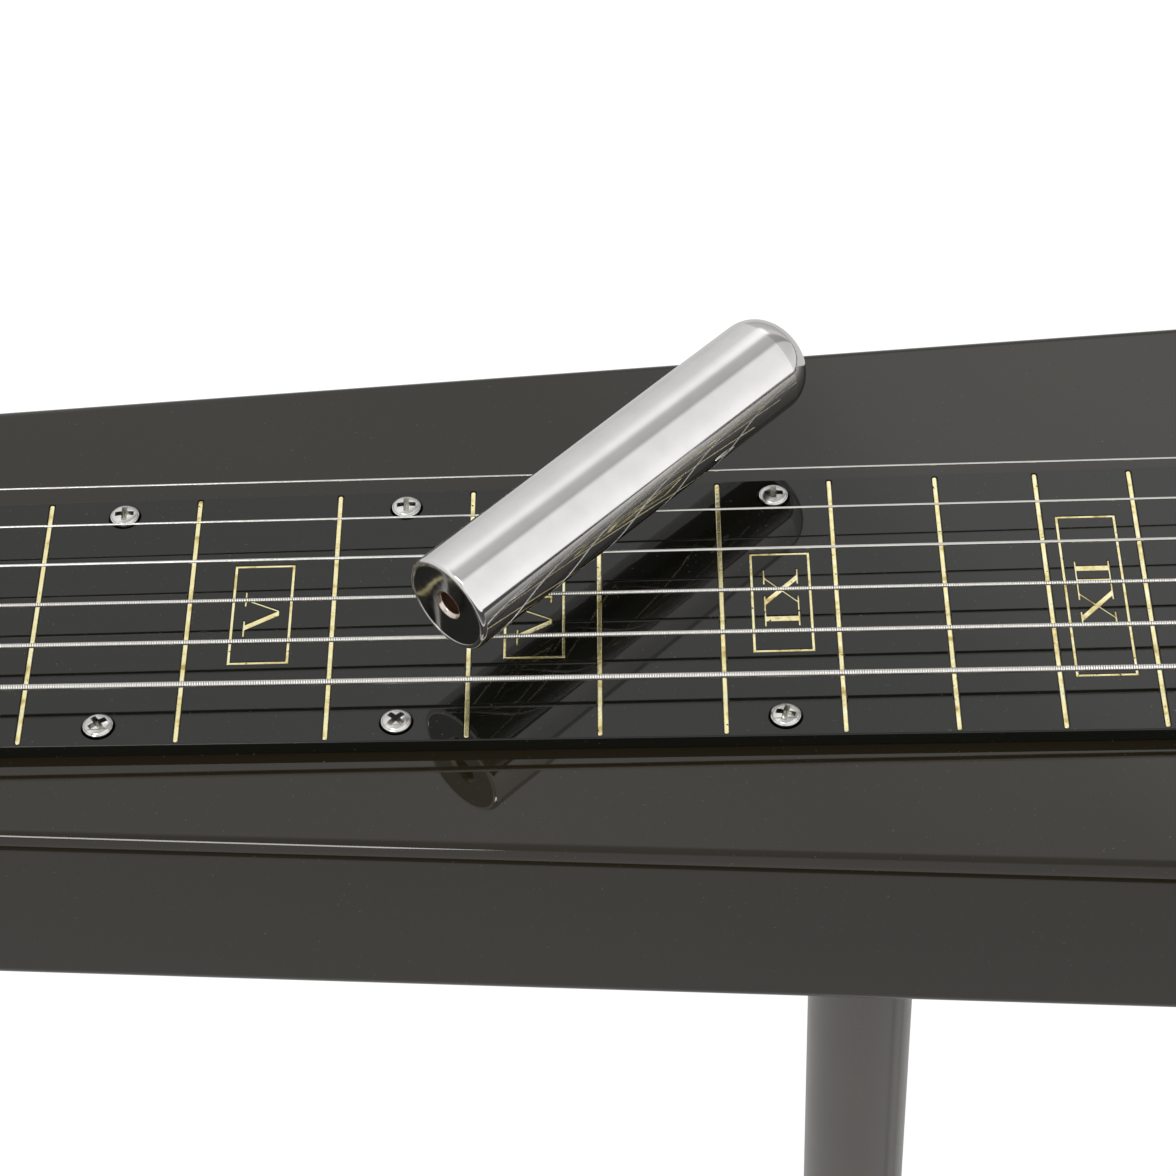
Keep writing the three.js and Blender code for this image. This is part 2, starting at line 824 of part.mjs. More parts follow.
// The wheel's teeth lean by the worm's lead angle, so the disc is twisted about its axis.
function wormWheel() {
  const outline = [];
  const radii = [gearRoot, gearTip];
  for (let tooth = 0; tooth < gearTeeth; tooth += 1) {
    const centre = Math.PI + (2 * Math.PI * tooth) / gearTeeth;
    const rising = radii.map((radius) => [radius, centre - toothAngle(radius)]);
    const falling = radii.toReversed().map((radius) => [radius, centre + toothAngle(radius)]);
    [...rising, ...falling].forEach(([radius, angle]) => {
      outline.push(new THREE.Vector2(radius * Math.cos(angle), radius * Math.sin(angle)));
    });
  }
  const disc = prism(new THREE.Shape(outline), -gearThickness / 2, gearThickness / 2);
  const lean = 1 / (gearTeeth * wormPitchRadius);
  const place = disc.getAttribute("position");
  const point = new THREE.Vector3();
  const axis = new THREE.Vector3(0, 0, 1);
  for (let i = 0; i < place.count; i += 1) {
    point.fromBufferAttribute(place, i);
    point.applyAxisAngle(axis, point.z * lean);
    place.setXYZ(i, point.x, point.y, point.z);
  }
  return disc;
}

// A post with its wheel in one. Its zero is at the worm's height.
function tunerPost(holeAngle) {
  const radius = postDiameter / 2;
  const foot = headTop - wormZ;
  const top = foot + postHeight;
  const waistFrom = foot + windingHeight - postHeight / 3;
  const waistTo = foot + windingHeight + postWaist / 4;
  const shaft = turned(
    [
      [0, 0],
      [radius, 0],
      [radius, foot + seatGap],
      [postFlange / 2, foot + seatGap],
      [postFlange / 2, foot + postFlangeHeight],
      [radius, foot + 2 * postFlangeHeight],
      [postWaist / 2, waistFrom],
      [postWaist / 2, waistTo],
      [postCap / 2, waistTo + postWaist / 4],
      [postCap / 2, top - postWaist / 4],
      [0, top],
    ],
    smallSides,
  );
  const hole = rodAlongX(postHole / 2, -postDiameter, postDiameter, 6).rotateZ(holeAngle);
  return cut(join(shaft, wormWheel()), hole.translate(0, 0, foot + windingHeight));
}

// The thread: a tapered ridge carried along a helix, from below the root to the tip.
function wormThread() {
  const inside = wormRoot - meshClearance;
  const half = (radius) => toothHalf - (radius - wormPitchRadius) * Math.tan(pressureAngle);
  const section = [
    [inside, -half(wormRoot)],
    [wormTip, -half(wormTip)],
    [wormTip, half(wormTip)],
    [inside, half(wormRoot)],
  ];
  const rings = Math.round(wormTurns * wormSteps);
  const positions = [];
  const index = [];
  for (let i = 0; i <= rings; i += 1) {
    const turn = (i - rings / 2) / wormSteps;
    const angle = 2 * Math.PI * turn;
    section.forEach(([radius, offset]) => {
      const height = (turn + 1 / 2) * wormPitch + offset;
      positions.push(radius * Math.cos(angle), radius * Math.sin(angle), height);
    });
  }
  const count = section.length;
  for (let i = 0; i < rings; i += 1) {
    for (let k = 0; k < count; k += 1) {
      const a = i * count + k;
      const b = i * count + ((k + 1) % count);
      index.push(a, b + count, b, a, a + count, b + count);
    }
  }
  for (let k = 1; k + 1 < count; k += 1) {
    const last = rings * count;
    index.push(0, k, k + 1, last, last + k + 1, last + k);
  }
  const geometry = new THREE.BufferGeometry();
  geometry.setAttribute("position", new THREE.Float32BufferAttribute(positions, 3));
  return geometry.setIndex(index);
}

// A key: the worm, its shaft and the button in one, along +Z, with the wheel at angle zero.
function tunerKey() {
  const wormHalf = earSpacing / 2 - earThickness - runGap;
  const shaftFrom = -earSpacing / 2 - runGap;
  const buttonFrom = postInset + keyReach;
  const shaft = turned(
    [
      [0, shaftFrom],
      [shaftDiameter / 2, shaftFrom],
      [shaftDiameter / 2, -wormHalf],
      [wormRoot, -wormHalf],
      [wormRoot, wormHalf],
      [shaftDiameter / 2, wormHalf],
      [shaftDiameter / 2, buttonFrom + keyBevel],
      [0, buttonFrom + keyBevel],
    ],
    wormSteps,
  );
  return join(shaft, wormThread(), keyButton(buttonFrom));
}

// The button's outline: two rounded lobes that narrow to a neck at the shaft.
function keyButton(from) {
  const half = keyWidth / 2;
  const neck = half * keyWaistShare;
  const to = from + keyLength;
  const lobe = keyWidth / 3;
  const shape = roundedShape([
    [-neck, from, 2 * keyBevel],
    [neck, from, 2 * keyBevel],
    [half, from + keyLength / 3, lobe],
    [half, to, lobe],
    [-half, to, lobe],
    [-half, from + keyLength / 3, lobe],
  ]);
  const slab = softSlab(shape, -keyThickness / 2, keyThickness / 2, keyBevel, 1, 2);
  return slab.rotateX(Math.PI / 2);
}

tunerPlaces.forEach(({ side, x, y }, n) => {
  mount(`tuner_post_${n + 1}`, tunerPost(winding(n).end), nickel, x, y, wormZ);
  const key = mount(`tuner_key_${n + 1}`, tunerKey(), chrome, x - meshDistance, y, wormZ);
  // Local Z points out of the head's side, and local X from the worm to its wheel.
  const out = new THREE.Vector3(0, side, 0);
  const toWheel = new THREE.Vector3(1, 0, 0);
  key.quaternion.setFromRotationMatrix(
    new THREE.Matrix4().makeBasis(toWheel, out.clone().cross(toWheel), out),
  );
});

// A plate carries three tuners. Two ears hang from it round each key's shaft.
function tunerPlate(side) {
  const places = tunerPlaces.filter((place) => place.side === side);
  const rowY = places[0].y;
  const first = Math.max(...places.map(({ x }) => x)) + plateEnd;
  const last = Math.min(...places.map(({ x }) => x)) - meshDistance - plateEnd + earHalfWidth;
  const strip = roundedBlock(
    last,
    first,
    rowY - plateHalfWidth,
    rowY + plateHalfWidth,
    plateBottom,
    plateBottom + plateThickness,
    plateCorner,
  );
  const ears = places.flatMap(({ x }) =>
    [-1, 1].map((end) => {
      const outer = rowY + (end * earSpacing) / 2;
      const inner = outer - end * earThickness;
      const axis = x - meshDistance;
      return block(
        axis - earHalfWidth,
        axis + earHalfWidth,
        Math.min(outer, inner),
        Math.max(outer, inner),
        wormZ - earHalfWidth,
        plateBottom + plateThickness / 2,
      );
    }),
  );
  const postHoles = places.map(({ x, y }) =>
    rod(postDiameter / 2 + runGap, plateBottom - overrun, headTop).translate(x, y, 0),
  );
  const bearings = places.map(({ x }) =>
    rodAlongY(shaftDiameter / 2 + runGap, -earSpacing, earSpacing, smallSides).translate(
      x - meshDistance,
      rowY,
      wormZ,
    ),
  );
  return cut(join(strip, ...ears), ...postHoles, ...bearings);
}

mount("tuner_plate_treble", tunerPlate(1), nickel);
mount("tuner_plate_bass", tunerPlate(-1), nickel);

// A line through listed points, with one ring of the tube at each of them.
class PointedPath extends THREE.Curve {
  constructor(points) {
    super();
    this.points = points;
  }
  getPoint(share) {
    const place = share * (this.points.length - 1);
    const index = Math.min(Math.floor(place), this.points.length - 2);
    return this.points[index].clone().lerp(this.points[index + 1], place - index);
  }
  getPointAt(share) {
    return this.getPoint(share);
  }
  getTangentAt(share) {
    const place = Math.round(share * (this.points.length - 1));
    const back = this.points[Math.max(place - 1, 0)];
    const ahead = this.points[Math.min(place + 1, this.points.length - 1)];
    return ahead.clone().sub(back).normalize();
  }
  getSpacedPoints() {
    return this.points;
  }
}

function circleShape(radius, sides) {
  const step = (2 * Math.PI) / sides;
  const corner = (_, i) => new THREE.Vector2(Math.cos(i * step), Math.sin(i * step)).multiplyScalar(radius);
  return new THREE.Shape(Array.from({ length: sides }, corner));
}

// A string runs from its ball end over the saddle and the nut, and winds up its post to
// the mouth of the post's hole.
function stringRoute(n) {
  const { side, x, y, radius, start } = winding(n);
  const ballX = anchorX + bridgePlate + runGap + ballDiameter / 2;
  const points = [
    new THREE.Vector3(ballX, stringY(n, scaleLength), anchorHoleHeight),
    new THREE.Vector3(anchorX, stringY(n, scaleLength), anchorHoleHeight),
    new THREE.Vector3(scaleLength, stringY(n, scaleLength), stringZ(scaleLength)),
    new THREE.Vector3(0, stringY(n, 0), stringZ(0)),
    new THREE.Vector3(nutBack, stringY(n, 0), stringZ(0)),
  ];
  const climb = stringDiameters[n] + windingGap;
  for (let step = 0; step <= windingTurns * windingSteps; step += 1) {
    const turn = step / windingSteps;
    const angle = start - side * 2 * Math.PI * turn;
    points.push(
      new THREE.Vector3(
        x + radius * Math.cos(angle),
        y + radius * Math.sin(angle),
        headTop + windingHeight - climb * (windingTurns - turn),
      ),
    );
  }
  return points;
}

function stringGeometry(n) {
  const points = stringRoute(n);
  const path = new PointedPath(points);
  const options = { steps: points.length - 1, bevelEnabled: false, extrudePath: path };
  const section = circleShape(stringDiameters[n] / 2, stringSides);
  const wire = new THREE.ExtrudeGeometry(section, options);
  const ball = rodAlongY(ballDiameter / 2, -ballLength / 2, ballLength / 2, smallSides);
  return join(wire, ball.translate(points[0].x, points[0].y, points[0].z));
}

stringDiameters.forEach((diameter, n) => {
  mount(`string_${n + 1}`, stringGeometry(n), steelString);
});

// Legs: each has a flanged socket under the body, a tube with a stud, and a rubber foot.
function legSocket() {
  const bore = socketBore / 2 + runGap;
  return turned(
    [
      [bore, -socketHeight],
      [socketBoss / 2, -socketHeight],
      [socketBoss / 2, -socketPlate],
      [socketFlange / 2, -socketPlate],
      [socketFlange / 2, -seatGap],
      [bore, -seatGap],
      [bore, -socketHeight],
    ],
    roundSides,
  );
}

function leg() {
  const radius = legDiameter / 2;
  const shoulder = -socketHeight - seatGap;
  const foot = -bodyUnderside + footFloor + seatGap;
  return turned(
    [
      [radius - legWall, foot],
      [radius, foot],
      [radius, shoulder],
      [socketBore / 2, shoulder],
      [socketBore / 2, shoulder + studLength],
      [socketBore / 2 - studWall, shoulder + studLength],
      [socketBore / 2 - studWall, shoulder - legDiameter],
      [radius - legWall, shoulder - legDiameter],
      [radius - legWall, foot],
    ],
    roundSides,
  );
}

function rubberFoot() {
  const bore = legDiameter / 2 + runGap;
  const floor = -bodyUnderside;
  return turned(
    [
      [0, floor],
      [footDiameter / 2 - footRound, floor],
      [footDiameter / 2, floor + footRound],
      [footTop / 2, floor + footHeight],
      [bore, floor + footHeight],
      [bore, floor + footFloor],
      [0, floor + footFloor],
    ],
    roundSides,
  );
}

const legPlaces = {
  front: [frontLegX, bodyMidY(frontLegX)],
  rear_bass: [rearLegX, bodyMidY(rearLegX) - rearLegSpread / 2],
  rear_treble: [rearLegX, bodyMidY(rearLegX) + rearLegSpread / 2],
};

Object.entries(legPlaces).forEach(([name, [x, y]]) => {
  mount(`leg_socket_${name}`, legSocket(), nickel, x, y, -bodyThickness);
  mount(`leg_${name}`, leg(), darkTube, x, y, -bodyThickness);
  mount(`foot_${name}`, rubberFoot(), rubber, x, y, -bodyThickness);
});

// Tone bar: a solid rod with a round nose, lying across strings 1 to 5.
function toneBar() {
  const radius = barDiameter / 2;
  const profile = [
    [0, barHoleDepth],
    [barHole / 2, barHoleDepth],
    [barHole / 2, barDish],
    [radius - 2 * barRim, barRim / 4],
    [radius - barRim, 0],
    [radius, barRim],
  ];
  for (let step = 0; step <= noseSteps; step += 1) {
    const angle = (Math.PI / 2) * (step / noseSteps);
    profile.push([
      radius - barNoseRound * (1 - Math.cos(angle)),
      barLength - barNoseRound * (1 - Math.sin(angle)),
    ]);
  }
  profile.push([0, barLength]);
  return turned(profile, barSides);
}

const barOnString = stringDiameters.length - 2; // the thickest string under the bar
const barZ = stringZ(barEndX) + stringDiameters[barOnString] / 2 + runGap + barDiameter / 2;
const bar = mount("tone_bar", toneBar(), chrome, barEndX, barEndY, barZ);
bar.rotation.set(0, Math.PI / 2, barTurn, "ZYX");

// The guitar stands with the centre of its footprint at the origin.
const bounds = new THREE.Box3().setFromObject(guitar);
const middle = bounds.getCenter(new THREE.Vector3());
guitar.position.set(-middle.x, -middle.y, -bounds.min.z);

export default guitar;
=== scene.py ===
# %% [markdown]
# # A lap steel guitar with its tone bar
# The guitar lies flat on three legs and is played with a polished steel bar.
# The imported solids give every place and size. Each cell below makes one piece or one
# finish round them, and says what it is on the real instrument.

# %% Load the solids
import math

import bmesh
import bpy
from mathutils import Matrix, Vector


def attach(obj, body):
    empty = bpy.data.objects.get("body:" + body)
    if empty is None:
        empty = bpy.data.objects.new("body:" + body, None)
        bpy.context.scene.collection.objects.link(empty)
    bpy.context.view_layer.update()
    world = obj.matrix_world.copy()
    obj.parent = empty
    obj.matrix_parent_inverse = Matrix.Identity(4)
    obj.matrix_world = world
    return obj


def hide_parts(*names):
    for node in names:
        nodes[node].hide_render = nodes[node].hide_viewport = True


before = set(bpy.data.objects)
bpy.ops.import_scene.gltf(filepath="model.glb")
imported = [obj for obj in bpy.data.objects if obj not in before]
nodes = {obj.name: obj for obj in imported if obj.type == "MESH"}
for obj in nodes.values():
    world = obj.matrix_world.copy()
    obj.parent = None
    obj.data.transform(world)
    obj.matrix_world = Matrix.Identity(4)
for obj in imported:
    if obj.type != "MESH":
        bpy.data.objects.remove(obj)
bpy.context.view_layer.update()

# %% [markdown]
# ## Working in millimetres
# A maker thinks in millimetres from the nut, where every string length starts. So each
# piece is shaped in millimetres from the nut's front edge, the middle string line and the
# body's top face, and one matrix carries it to the frame, which is in metres.

# %% The step from the maker's millimetres to the frame
NUT_EDGE = Vector((-0.25075, -0.0062426, 0.678))
TO_FRAME = Matrix.Translation(NUT_EDGE) @ Matrix.Scale(0.001, 4)
TO_MAKER = TO_FRAME.inverted()
SCALE_LENGTH = 571.5
BOARD_TOP = 2.7
SEAM = 0.1  # the gap that the solids leave between a piece and what it lies on
print("nut's edge in the frame:", tuple(NUT_EDGE))

# %% [markdown]
# ## The camera
# The photograph was taken from the player's side, about 60 cm away, with a long lens. Its
# place comes from the fret lines, whose spacing is known exactly.

# %% Camera
camera = bpy.data.objects.new("camera", bpy.data.cameras.new("camera"))
bpy.context.scene.collection.objects.link(camera)
camera.location = (-0.049240, -0.415258, 1.114857)
camera.rotation_euler = [math.radians(angle) for angle in (43.60198, 1.88771, -0.12365)]
camera.data.lens = 104.31
camera.data.sensor_width = 36
camera.data.clip_start = 0.01
bpy.context.scene.camera = camera
bpy.context.scene.view_settings.view_transform = "Standard"
print("camera", [round(value, 3) for value in camera.location])

# %% [markdown]
# ## Small helpers for node trees
# A finish is a short chain of texture nodes in front of one shader. These two helpers add
# a node with its settings, and start a material with its plain values.


# %% Node helpers
def add(tree, kind, sockets=None, **settings):
    """A new node, with settings by name and socket values by name or number."""
    made = tree.nodes.new(kind)
    for name, value in settings.items():
        setattr(made, name, value)
    for name, value in (sockets or {}).items():
        if isinstance(value, bpy.types.NodeSocket):
            tree.links.new(value, made.inputs[name])
        else:
            made.inputs[name].default_value = value
    return made


def start_material(name, **values):
    """A material, its tree and its shader, with the shader's plain values set."""
    material = bpy.data.materials.new(name)
    material.use_nodes = True
    shader = material.node_tree.nodes["Principled BSDF"]
    for key, value in values.items():
        shader.inputs[key.replace("_", " ").title().replace("Ior", "IOR")].default_value = value
    return material, material.node_tree, shader


def ramp(tree, value, *stops):
    """A colour ramp from (place, grey or colour) stops."""
    made = add(tree, "ShaderNodeValToRGB", {"Fac": value})
    elements = made.color_ramp.elements
    while len(elements) < len(stops):
        elements.new(0.5)
    for element, (place, colour) in zip(elements, stops):
        element.position = place
        element.color = (*colour, 1) if isinstance(colour, tuple) else (colour, colour, colour, 1)
    return made.outputs["Color"]


def noise(tree, scale, detail, stretch=(1, 1, 1)):
    """Noise on the piece's own place, stretched along the axes."""
    place = add(tree, "ShaderNodeTexCoord").outputs["Object"]
    scaled = add(tree, "ShaderNodeMapping", {"Vector": place, "Scale": stretch}).outputs["Vector"]
    sockets = {"Vector": scaled, "Scale": scale, "Detail": detail}
    return add(tree, "ShaderNodeTexNoise", sockets).outputs["Fac"]


def bump(tree, shader, height, distance):
    """Raises the surface by a texture, over a distance in metres."""
    sockets = {"Height": height, "Distance": distance, "Strength": 1.0}
    made = add(tree, "ShaderNodeBump", sockets)
    tree.links.new(made.outputs["Normal"], shader.inputs["Normal"])


print("node helpers ready")

# %% [markdown]
# ## The studio
# Black lacquer and polished steel show the room more than they show themselves. The room
# here is one soft light dome. Round the long axis of the tone bar it has a darker strip
# overhead and bright panels at both sides, which give the bar its bands, and a brighter
# window far to the right. Below the horizon on the player's side it is nearly black, which
# gives the bar its dark underside. The camera sees plain white, by Light Path, so no extra
# light falls on the guitar. Each stop is an angle in degrees, or a way along the bar, with
# its brightness.

# %% Light dome
BAR_ACROSS = (0.724, -0.69, 0.0)
BAR_ALONG = (0.69, 0.724, 0.0)
ROUND_THE_BAR = (
    (-180, 0.62), (-95, 0.62), (-88, 0.68), (-72, 0.72), (-51, 0.79), (-45, 0.82), (-38, 0.9),
    (-32, 1.0), (-26, 1.03), (-20, 0.92), (-13, 0.62), (-8, 0.54), (6, 0.5), (11, 0.48),
    (16, 0.8), (19, 0.93), (45, 0.95), (60, 1.0), (75, 1.1), (90, 1.14), (92, 0.07), (110, 0.08),
    (126, 0.17), (180, 0.2),
)
ALONG_THE_BAR = ((0.44, 1.05), (0.5, 1.0), (0.562, 1.0), (0.6, 0.74), (0.9, 0.7))
WINDOW = (
    (0.44, 1.05), (0.5, 1.0), (0.548, 1.1), (0.566, 1.3), (0.62, 1.35), (0.68, 1.1), (0.74, 0.7),
)
WINDOW_SIDES = ((-50, 0), (-42, 1), (-20, 1), (-14, 0))


def dome_level(tree):
    """The dome's brightness for a direction, by its angle round the bar and its way along it."""
    direction = add(tree, "ShaderNodeTexCoord").outputs["Generated"]

    def along(axis):
        sockets = {0: direction, 1: axis}
        return add(tree, "ShaderNodeVectorMath", sockets, operation="DOT_PRODUCT").outputs["Value"]

    angle = add(tree, "ShaderNodeMath", {0: along(BAR_ACROSS), 1: along((0, 0, 1))},
                operation="ARCTAN2").outputs[0]
    turn = add(tree, "ShaderNodeMapRange", {0: angle, 1: -math.pi, 2: math.pi}).outputs[0]
    level, sides = (ramp(tree, turn, *[((stop + 180) / 360, value) for stop, value in stops])
                    for stops in (ROUND_THE_BAR, WINDOW_SIDES))
    plain, window = (ramp(tree, along(BAR_ALONG), *stops) for stops in (ALONG_THE_BAR, WINDOW))
    gain = add(tree, "ShaderNodeMix", {0: sides, 2: plain, 3: window})
    return add(tree, "ShaderNodeMath", {0: level, 1: gain.outputs[0]},
               operation="MULTIPLY").outputs[0]


world = bpy.data.worlds.new("studio")
world.use_nodes = True
bpy.context.scene.world = world
tree = world.node_tree
background = tree.nodes["Background"]
background.inputs["Color"].default_value = (1, 1, 1, 1)
seen = add(tree, "ShaderNodeLightPath").outputs["Is Camera Ray"]
strength = add(tree, "ShaderNodeMix", {0: seen, 2: dome_level(tree), 3: 1.0})
tree.links.new(strength.outputs[0], background.inputs["Strength"])
print("dome stops:", len(ROUND_THE_BAR), len(ALONG_THE_BAR))

# %% [markdown]
# One long lamp high on the player's left draws the thin bright line along the rounded
# front edge of the body.

# %% Lamp
lamp = bpy.data.objects.new("key_lamp", bpy.data.lights.new("key_lamp", "AREA"))
bpy.context.scene.collection.objects.link(lamp)
lamp.data.shape = "RECTANGLE"
lamp.data.size, lamp.data.size_y = 0.45, 0.16
lamp.data.energy = 2.4
lamp.location = (-0.45, -0.56, 1.72)
lit_point = Vector((-0.15, -0.06, 0.68))
lamp.rotation_euler = (lit_point - lamp.location).to_track_quat("-Z", "Y").to_euler()
print("lamp energy", lamp.data.energy)

# %% [markdown]
# The floor is a plain white sheet, which ends in front of the guitar as a studio's does. A
# little glow lifts it to white for the camera and, more faintly, for the gloss of the
# guitar, and the guitar's shadow stays on it.

# %% Floor
FLOOR_WHITE = (0.62, 0.62, 0.62, 1)
FLOOR_HALF, FLOOR_SHIFT = 12, 10.9
GLOW_IN_GLOSS, GLOW_TO_CAMERA = 0.12, 0.55
material, tree, shader = start_material("floor_white", base_color=FLOOR_WHITE, roughness=0.9)
path = add(tree, "ShaderNodeLightPath").outputs
faint = add(tree, "ShaderNodeMath", {0: path["Is Glossy Ray"], 1: GLOW_IN_GLOSS},
            operation="MULTIPLY")
glow = add(tree, "ShaderNodeMath",
           {0: path["Is Camera Ray"], 1: GLOW_TO_CAMERA, 2: faint.outputs[0]},
           operation="MULTIPLY_ADD")
tree.links.new(glow.outputs[0], shader.inputs["Emission Strength"])
shader.inputs["Emission Color"].default_value = (1, 1, 1, 1)
bm = bmesh.new()
bmesh.ops.create_grid(bm, x_segments=1, y_segments=1, size=FLOOR_HALF)
bmesh.ops.translate(bm, verts=bm.verts, vec=(0, FLOOR_SHIFT, 0))
mesh = bpy.data.meshes.new("floor")
bm.to_mesh(mesh)
bm.free()
mesh.materials.append(material)
floor = bpy.data.objects.new("floor", mesh)
bpy.context.scene.collection.objects.link(floor)
print("floor", tuple(round(side, 1) for side in floor.dimensions))

# %% [markdown]
# ## Finishes
# The body is wood under thick black gloss. Its colour is almost nothing: what the eye sees
# is the room in the clear coat, a trace of unevenness from polishing, and dust.


# %% Lacquer and acrylic
DUST_GREY = (0.09, 0.085, 0.075, 1)


def glossy_black(name, colour, ripple, ior):
    """A black gloss with a faint ripple and fine dust specks."""
    made, tree, shader = start_material(name, base_color=(*colour, 1), ior=ior)
    dust = ramp(tree, noise(tree, 1900, 1.0), (0.0, 0.0), (0.75, 0.0), (0.78, 0.7))
    veil = ramp(tree, noise(tree, 9, 4.0), (0.3, colour), (0.7, tuple(c * 1.25 for c in colour)))
    mixed = add(tree, "ShaderNodeMix", {0: dust, 6: veil, 7: DUST_GREY},
                data_type="RGBA")
    tree.links.new(mixed.outputs[2], shader.inputs["Base Color"])
    level = add(tree, "ShaderNodeMapRange", {0: noise(tree, 45, 5.0), 3: 0.015, 4: 0.05})
    tree.links.new(level.outputs[0], shader.inputs["Roughness"])
    bump(tree, shader, noise(tree, 60, 2.0), ripple)
    return made


LACQUER_IOR, ACRYLIC_IOR = 1.5, 1.49
black_lacquer = glossy_black("black_lacquer", (0.013, 0.0099, 0.0045), 0.00001, LACQUER_IOR)
black_acrylic = glossy_black("black_acrylic", (0.0048, 0.0048, 0.0034), 0.000004, ACRYLIC_IOR)
print("gloss blacks:", black_lacquer.name, black_acrylic.name)


# %% [markdown]
# Metals differ in colour, in how far they are polished and in which way the polishing
# lines run. One helper makes them all: fine lines come from noise that is stretched along
# one axis, and handling leaves slightly duller patches.


# %% Metals
def metal(name, colour, low, high, lines=(1, 1, 1), depth=0.0):
    """A metal whose roughness wanders from low to high, with polishing lines."""
    made, tree, shader = start_material(name, base_color=(*colour, 1), metallic=1.0)
    wear = add(tree, "ShaderNodeMapRange",
               {0: noise(tree, 70, 6.0), 1: 0.35, 2: 0.7, 3: low, 4: high})
    tree.links.new(wear.outputs[0], shader.inputs["Roughness"])
    tint = ramp(tree, noise(tree, 160, 3.0),
                (0.35, tuple(c * 0.93 for c in colour)), (0.65, colour))
    tree.links.new(tint, shader.inputs["Base Color"])
    if depth:
        bump(tree, shader, noise(tree, 900, 2.0, lines), depth)
    return made


polished_steel = metal("polished_steel", (0.81, 0.795, 0.78), 0.03, 0.09, (6, 6, 6), 0.0000012)
dished_steel = metal("dished_steel", (0.27, 0.268, 0.262), 0.07, 0.17, (0.3, 0.3, 0.3), 0.00002)
rubbed_steel = metal("rubbed_steel", (0.78, 0.67, 0.6), 0.2, 0.36, (1, 1, 1), 0.00001)
bright_chrome = metal("bright_chrome", (0.86, 0.865, 0.87), 0.03, 0.1)
nickel_plate = metal("nickel_plate", (0.74, 0.72, 0.67), 0.14, 0.3, (4, 1, 1), 0.000004)
plated_screw = metal("plated_screw", (0.78, 0.77, 0.74), 0.12, 0.26, (3, 3, 1), 0.000003)
plain_wire = metal("plain_wire", (0.78, 0.765, 0.73), 0.16, 0.28, (0.2, 4, 4), 0.000001)
print("metals:", polished_steel.name, bright_chrome.name, nickel_plate.name, plated_screw.name)

# %% [markdown]
# The thick strings are wound: a fine round wire lies in ribs round the core. The ribs are
# too fine to model one by one, so a wave along the string raises them. The same wave
# darkens the colour between the ribs, as painted shade in the gaps. At scale 1 the wave
# node repeats every tau / 20 metres, and its scale brings that down to the ribs' pitch.

# %% Wound wire
RIB_PITCH, WAVE_LENGTH = 0.00042, math.tau / 20
wound_wire, tree, shader = start_material("wound_wire", metallic=1.0, roughness=0.26)
place = add(tree, "ShaderNodeTexCoord").outputs["Object"]
ribs = add(tree, "ShaderNodeTexWave", {"Vector": place, "Scale": WAVE_LENGTH / RIB_PITCH},
           bands_direction="X", wave_profile="SIN").outputs["Fac"]
# Dark where the wave is low: painted shade between the ribs.
tint = ramp(tree, ribs, (0.02, (0.06, 0.055, 0.05)), (0.32, (0.97, 0.945, 0.9)))
tree.links.new(tint, shader.inputs["Base Color"])
bump(tree, shader, ribs, 0.00005)
print("rib pitch in mm", RIB_PITCH * 1000)

# %% [markdown]
# The marks on the board are engraved and filled with gold paint. The paint is uneven, so
# it is smoother and glints in some places, is brown in others, and has small dark pits. Where
# the grain is high its colour also turns pale, as a painted glint. It has drawn back
# from the groove's walls, which leaves a dark line at each side.

# %% Gold fill
PIT_BROWN = (0.03, 0.022, 0.012, 1)
gold_fill, tree, shader = start_material("gold_fill", metallic=1.0)
grain = noise(tree, 420, 5.0)
pits = ramp(tree, noise(tree, 1300, 2.0), (0.0, 0.0), (0.27, 0.0), (0.33, 1.0))
# The palest stops are a painted glint, where the grain also makes the paint smoothest.
gold = ramp(tree, grain,
            (0.3, (0.6, 0.46, 0.16)), (0.46, (1.0, 0.88, 0.46)), (0.7, (1.0, 0.97, 0.66)))
mixed = add(tree, "ShaderNodeMix", {0: pits, 6: PIT_BROWN, 7: gold}, data_type="RGBA")
tree.links.new(mixed.outputs[2], shader.inputs["Base Color"])
level = add(tree, "ShaderNodeMapRange", {0: grain, 3: 0.38, 4: 0.14})
tree.links.new(level.outputs[0], shader.inputs["Roughness"])
bump(tree, shader, noise(tree, 1500, 3.0), 0.00005)
print("gold ready")


# %% [markdown]
# The legs carry dark grey gloss paint, the feet are moulded rubber, and the covers are
# satin plastic. All three are the same idea: a dark colour, a roughness and a fine grain.
# The dull brass in the bar's bore is made the same way, as a metal.


# %% Paint, rubber, plastic and dull brass
def moulded(name, colour, low, high, grain, depth, metallic=0.0, ior=1.5):
    """A paint, rubber, plastic or dull metal with a fine grain."""
    made, tree, shader = start_material(name, base_color=(*colour, 1), metallic=metallic, ior=ior)
    tint = ramp(tree, noise(tree, 25, 5.0), (0.3, tuple(c * 0.8 for c in colour)), (0.7, colour))
    tree.links.new(tint, shader.inputs["Base Color"])
    level = add(tree, "ShaderNodeMapRange", {0: noise(tree, 90, 4.0), 3: low, 4: high})
    tree.links.new(level.outputs[0], shader.inputs["Roughness"])
    bump(tree, shader, noise(tree, grain, 3.0), depth)
    return made


leg_paint = moulded("leg_paint", (0.062, 0.05, 0.04), 0.18, 0.28, 300, 0.00001, ior=1.85)
foot_rubber = moulded("foot_rubber", (0.022, 0.022, 0.022), 0.55, 0.75, 700, 0.00006)
cover_plastic = moulded("cover_plastic", (0.02, 0.02, 0.022), 0.3, 0.42, 900, 0.00002)
coil_tape = moulded("coil_tape", (0.06, 0.035, 0.02), 0.5, 0.7, 400, 0.00005)
bore_brass = moulded("bore_brass", (0.36, 0.22, 0.15), 0.3, 0.5, 600, 0.00002, 1.0)
print("paints:", leg_paint.name, foot_rubber.name, cover_plastic.name)


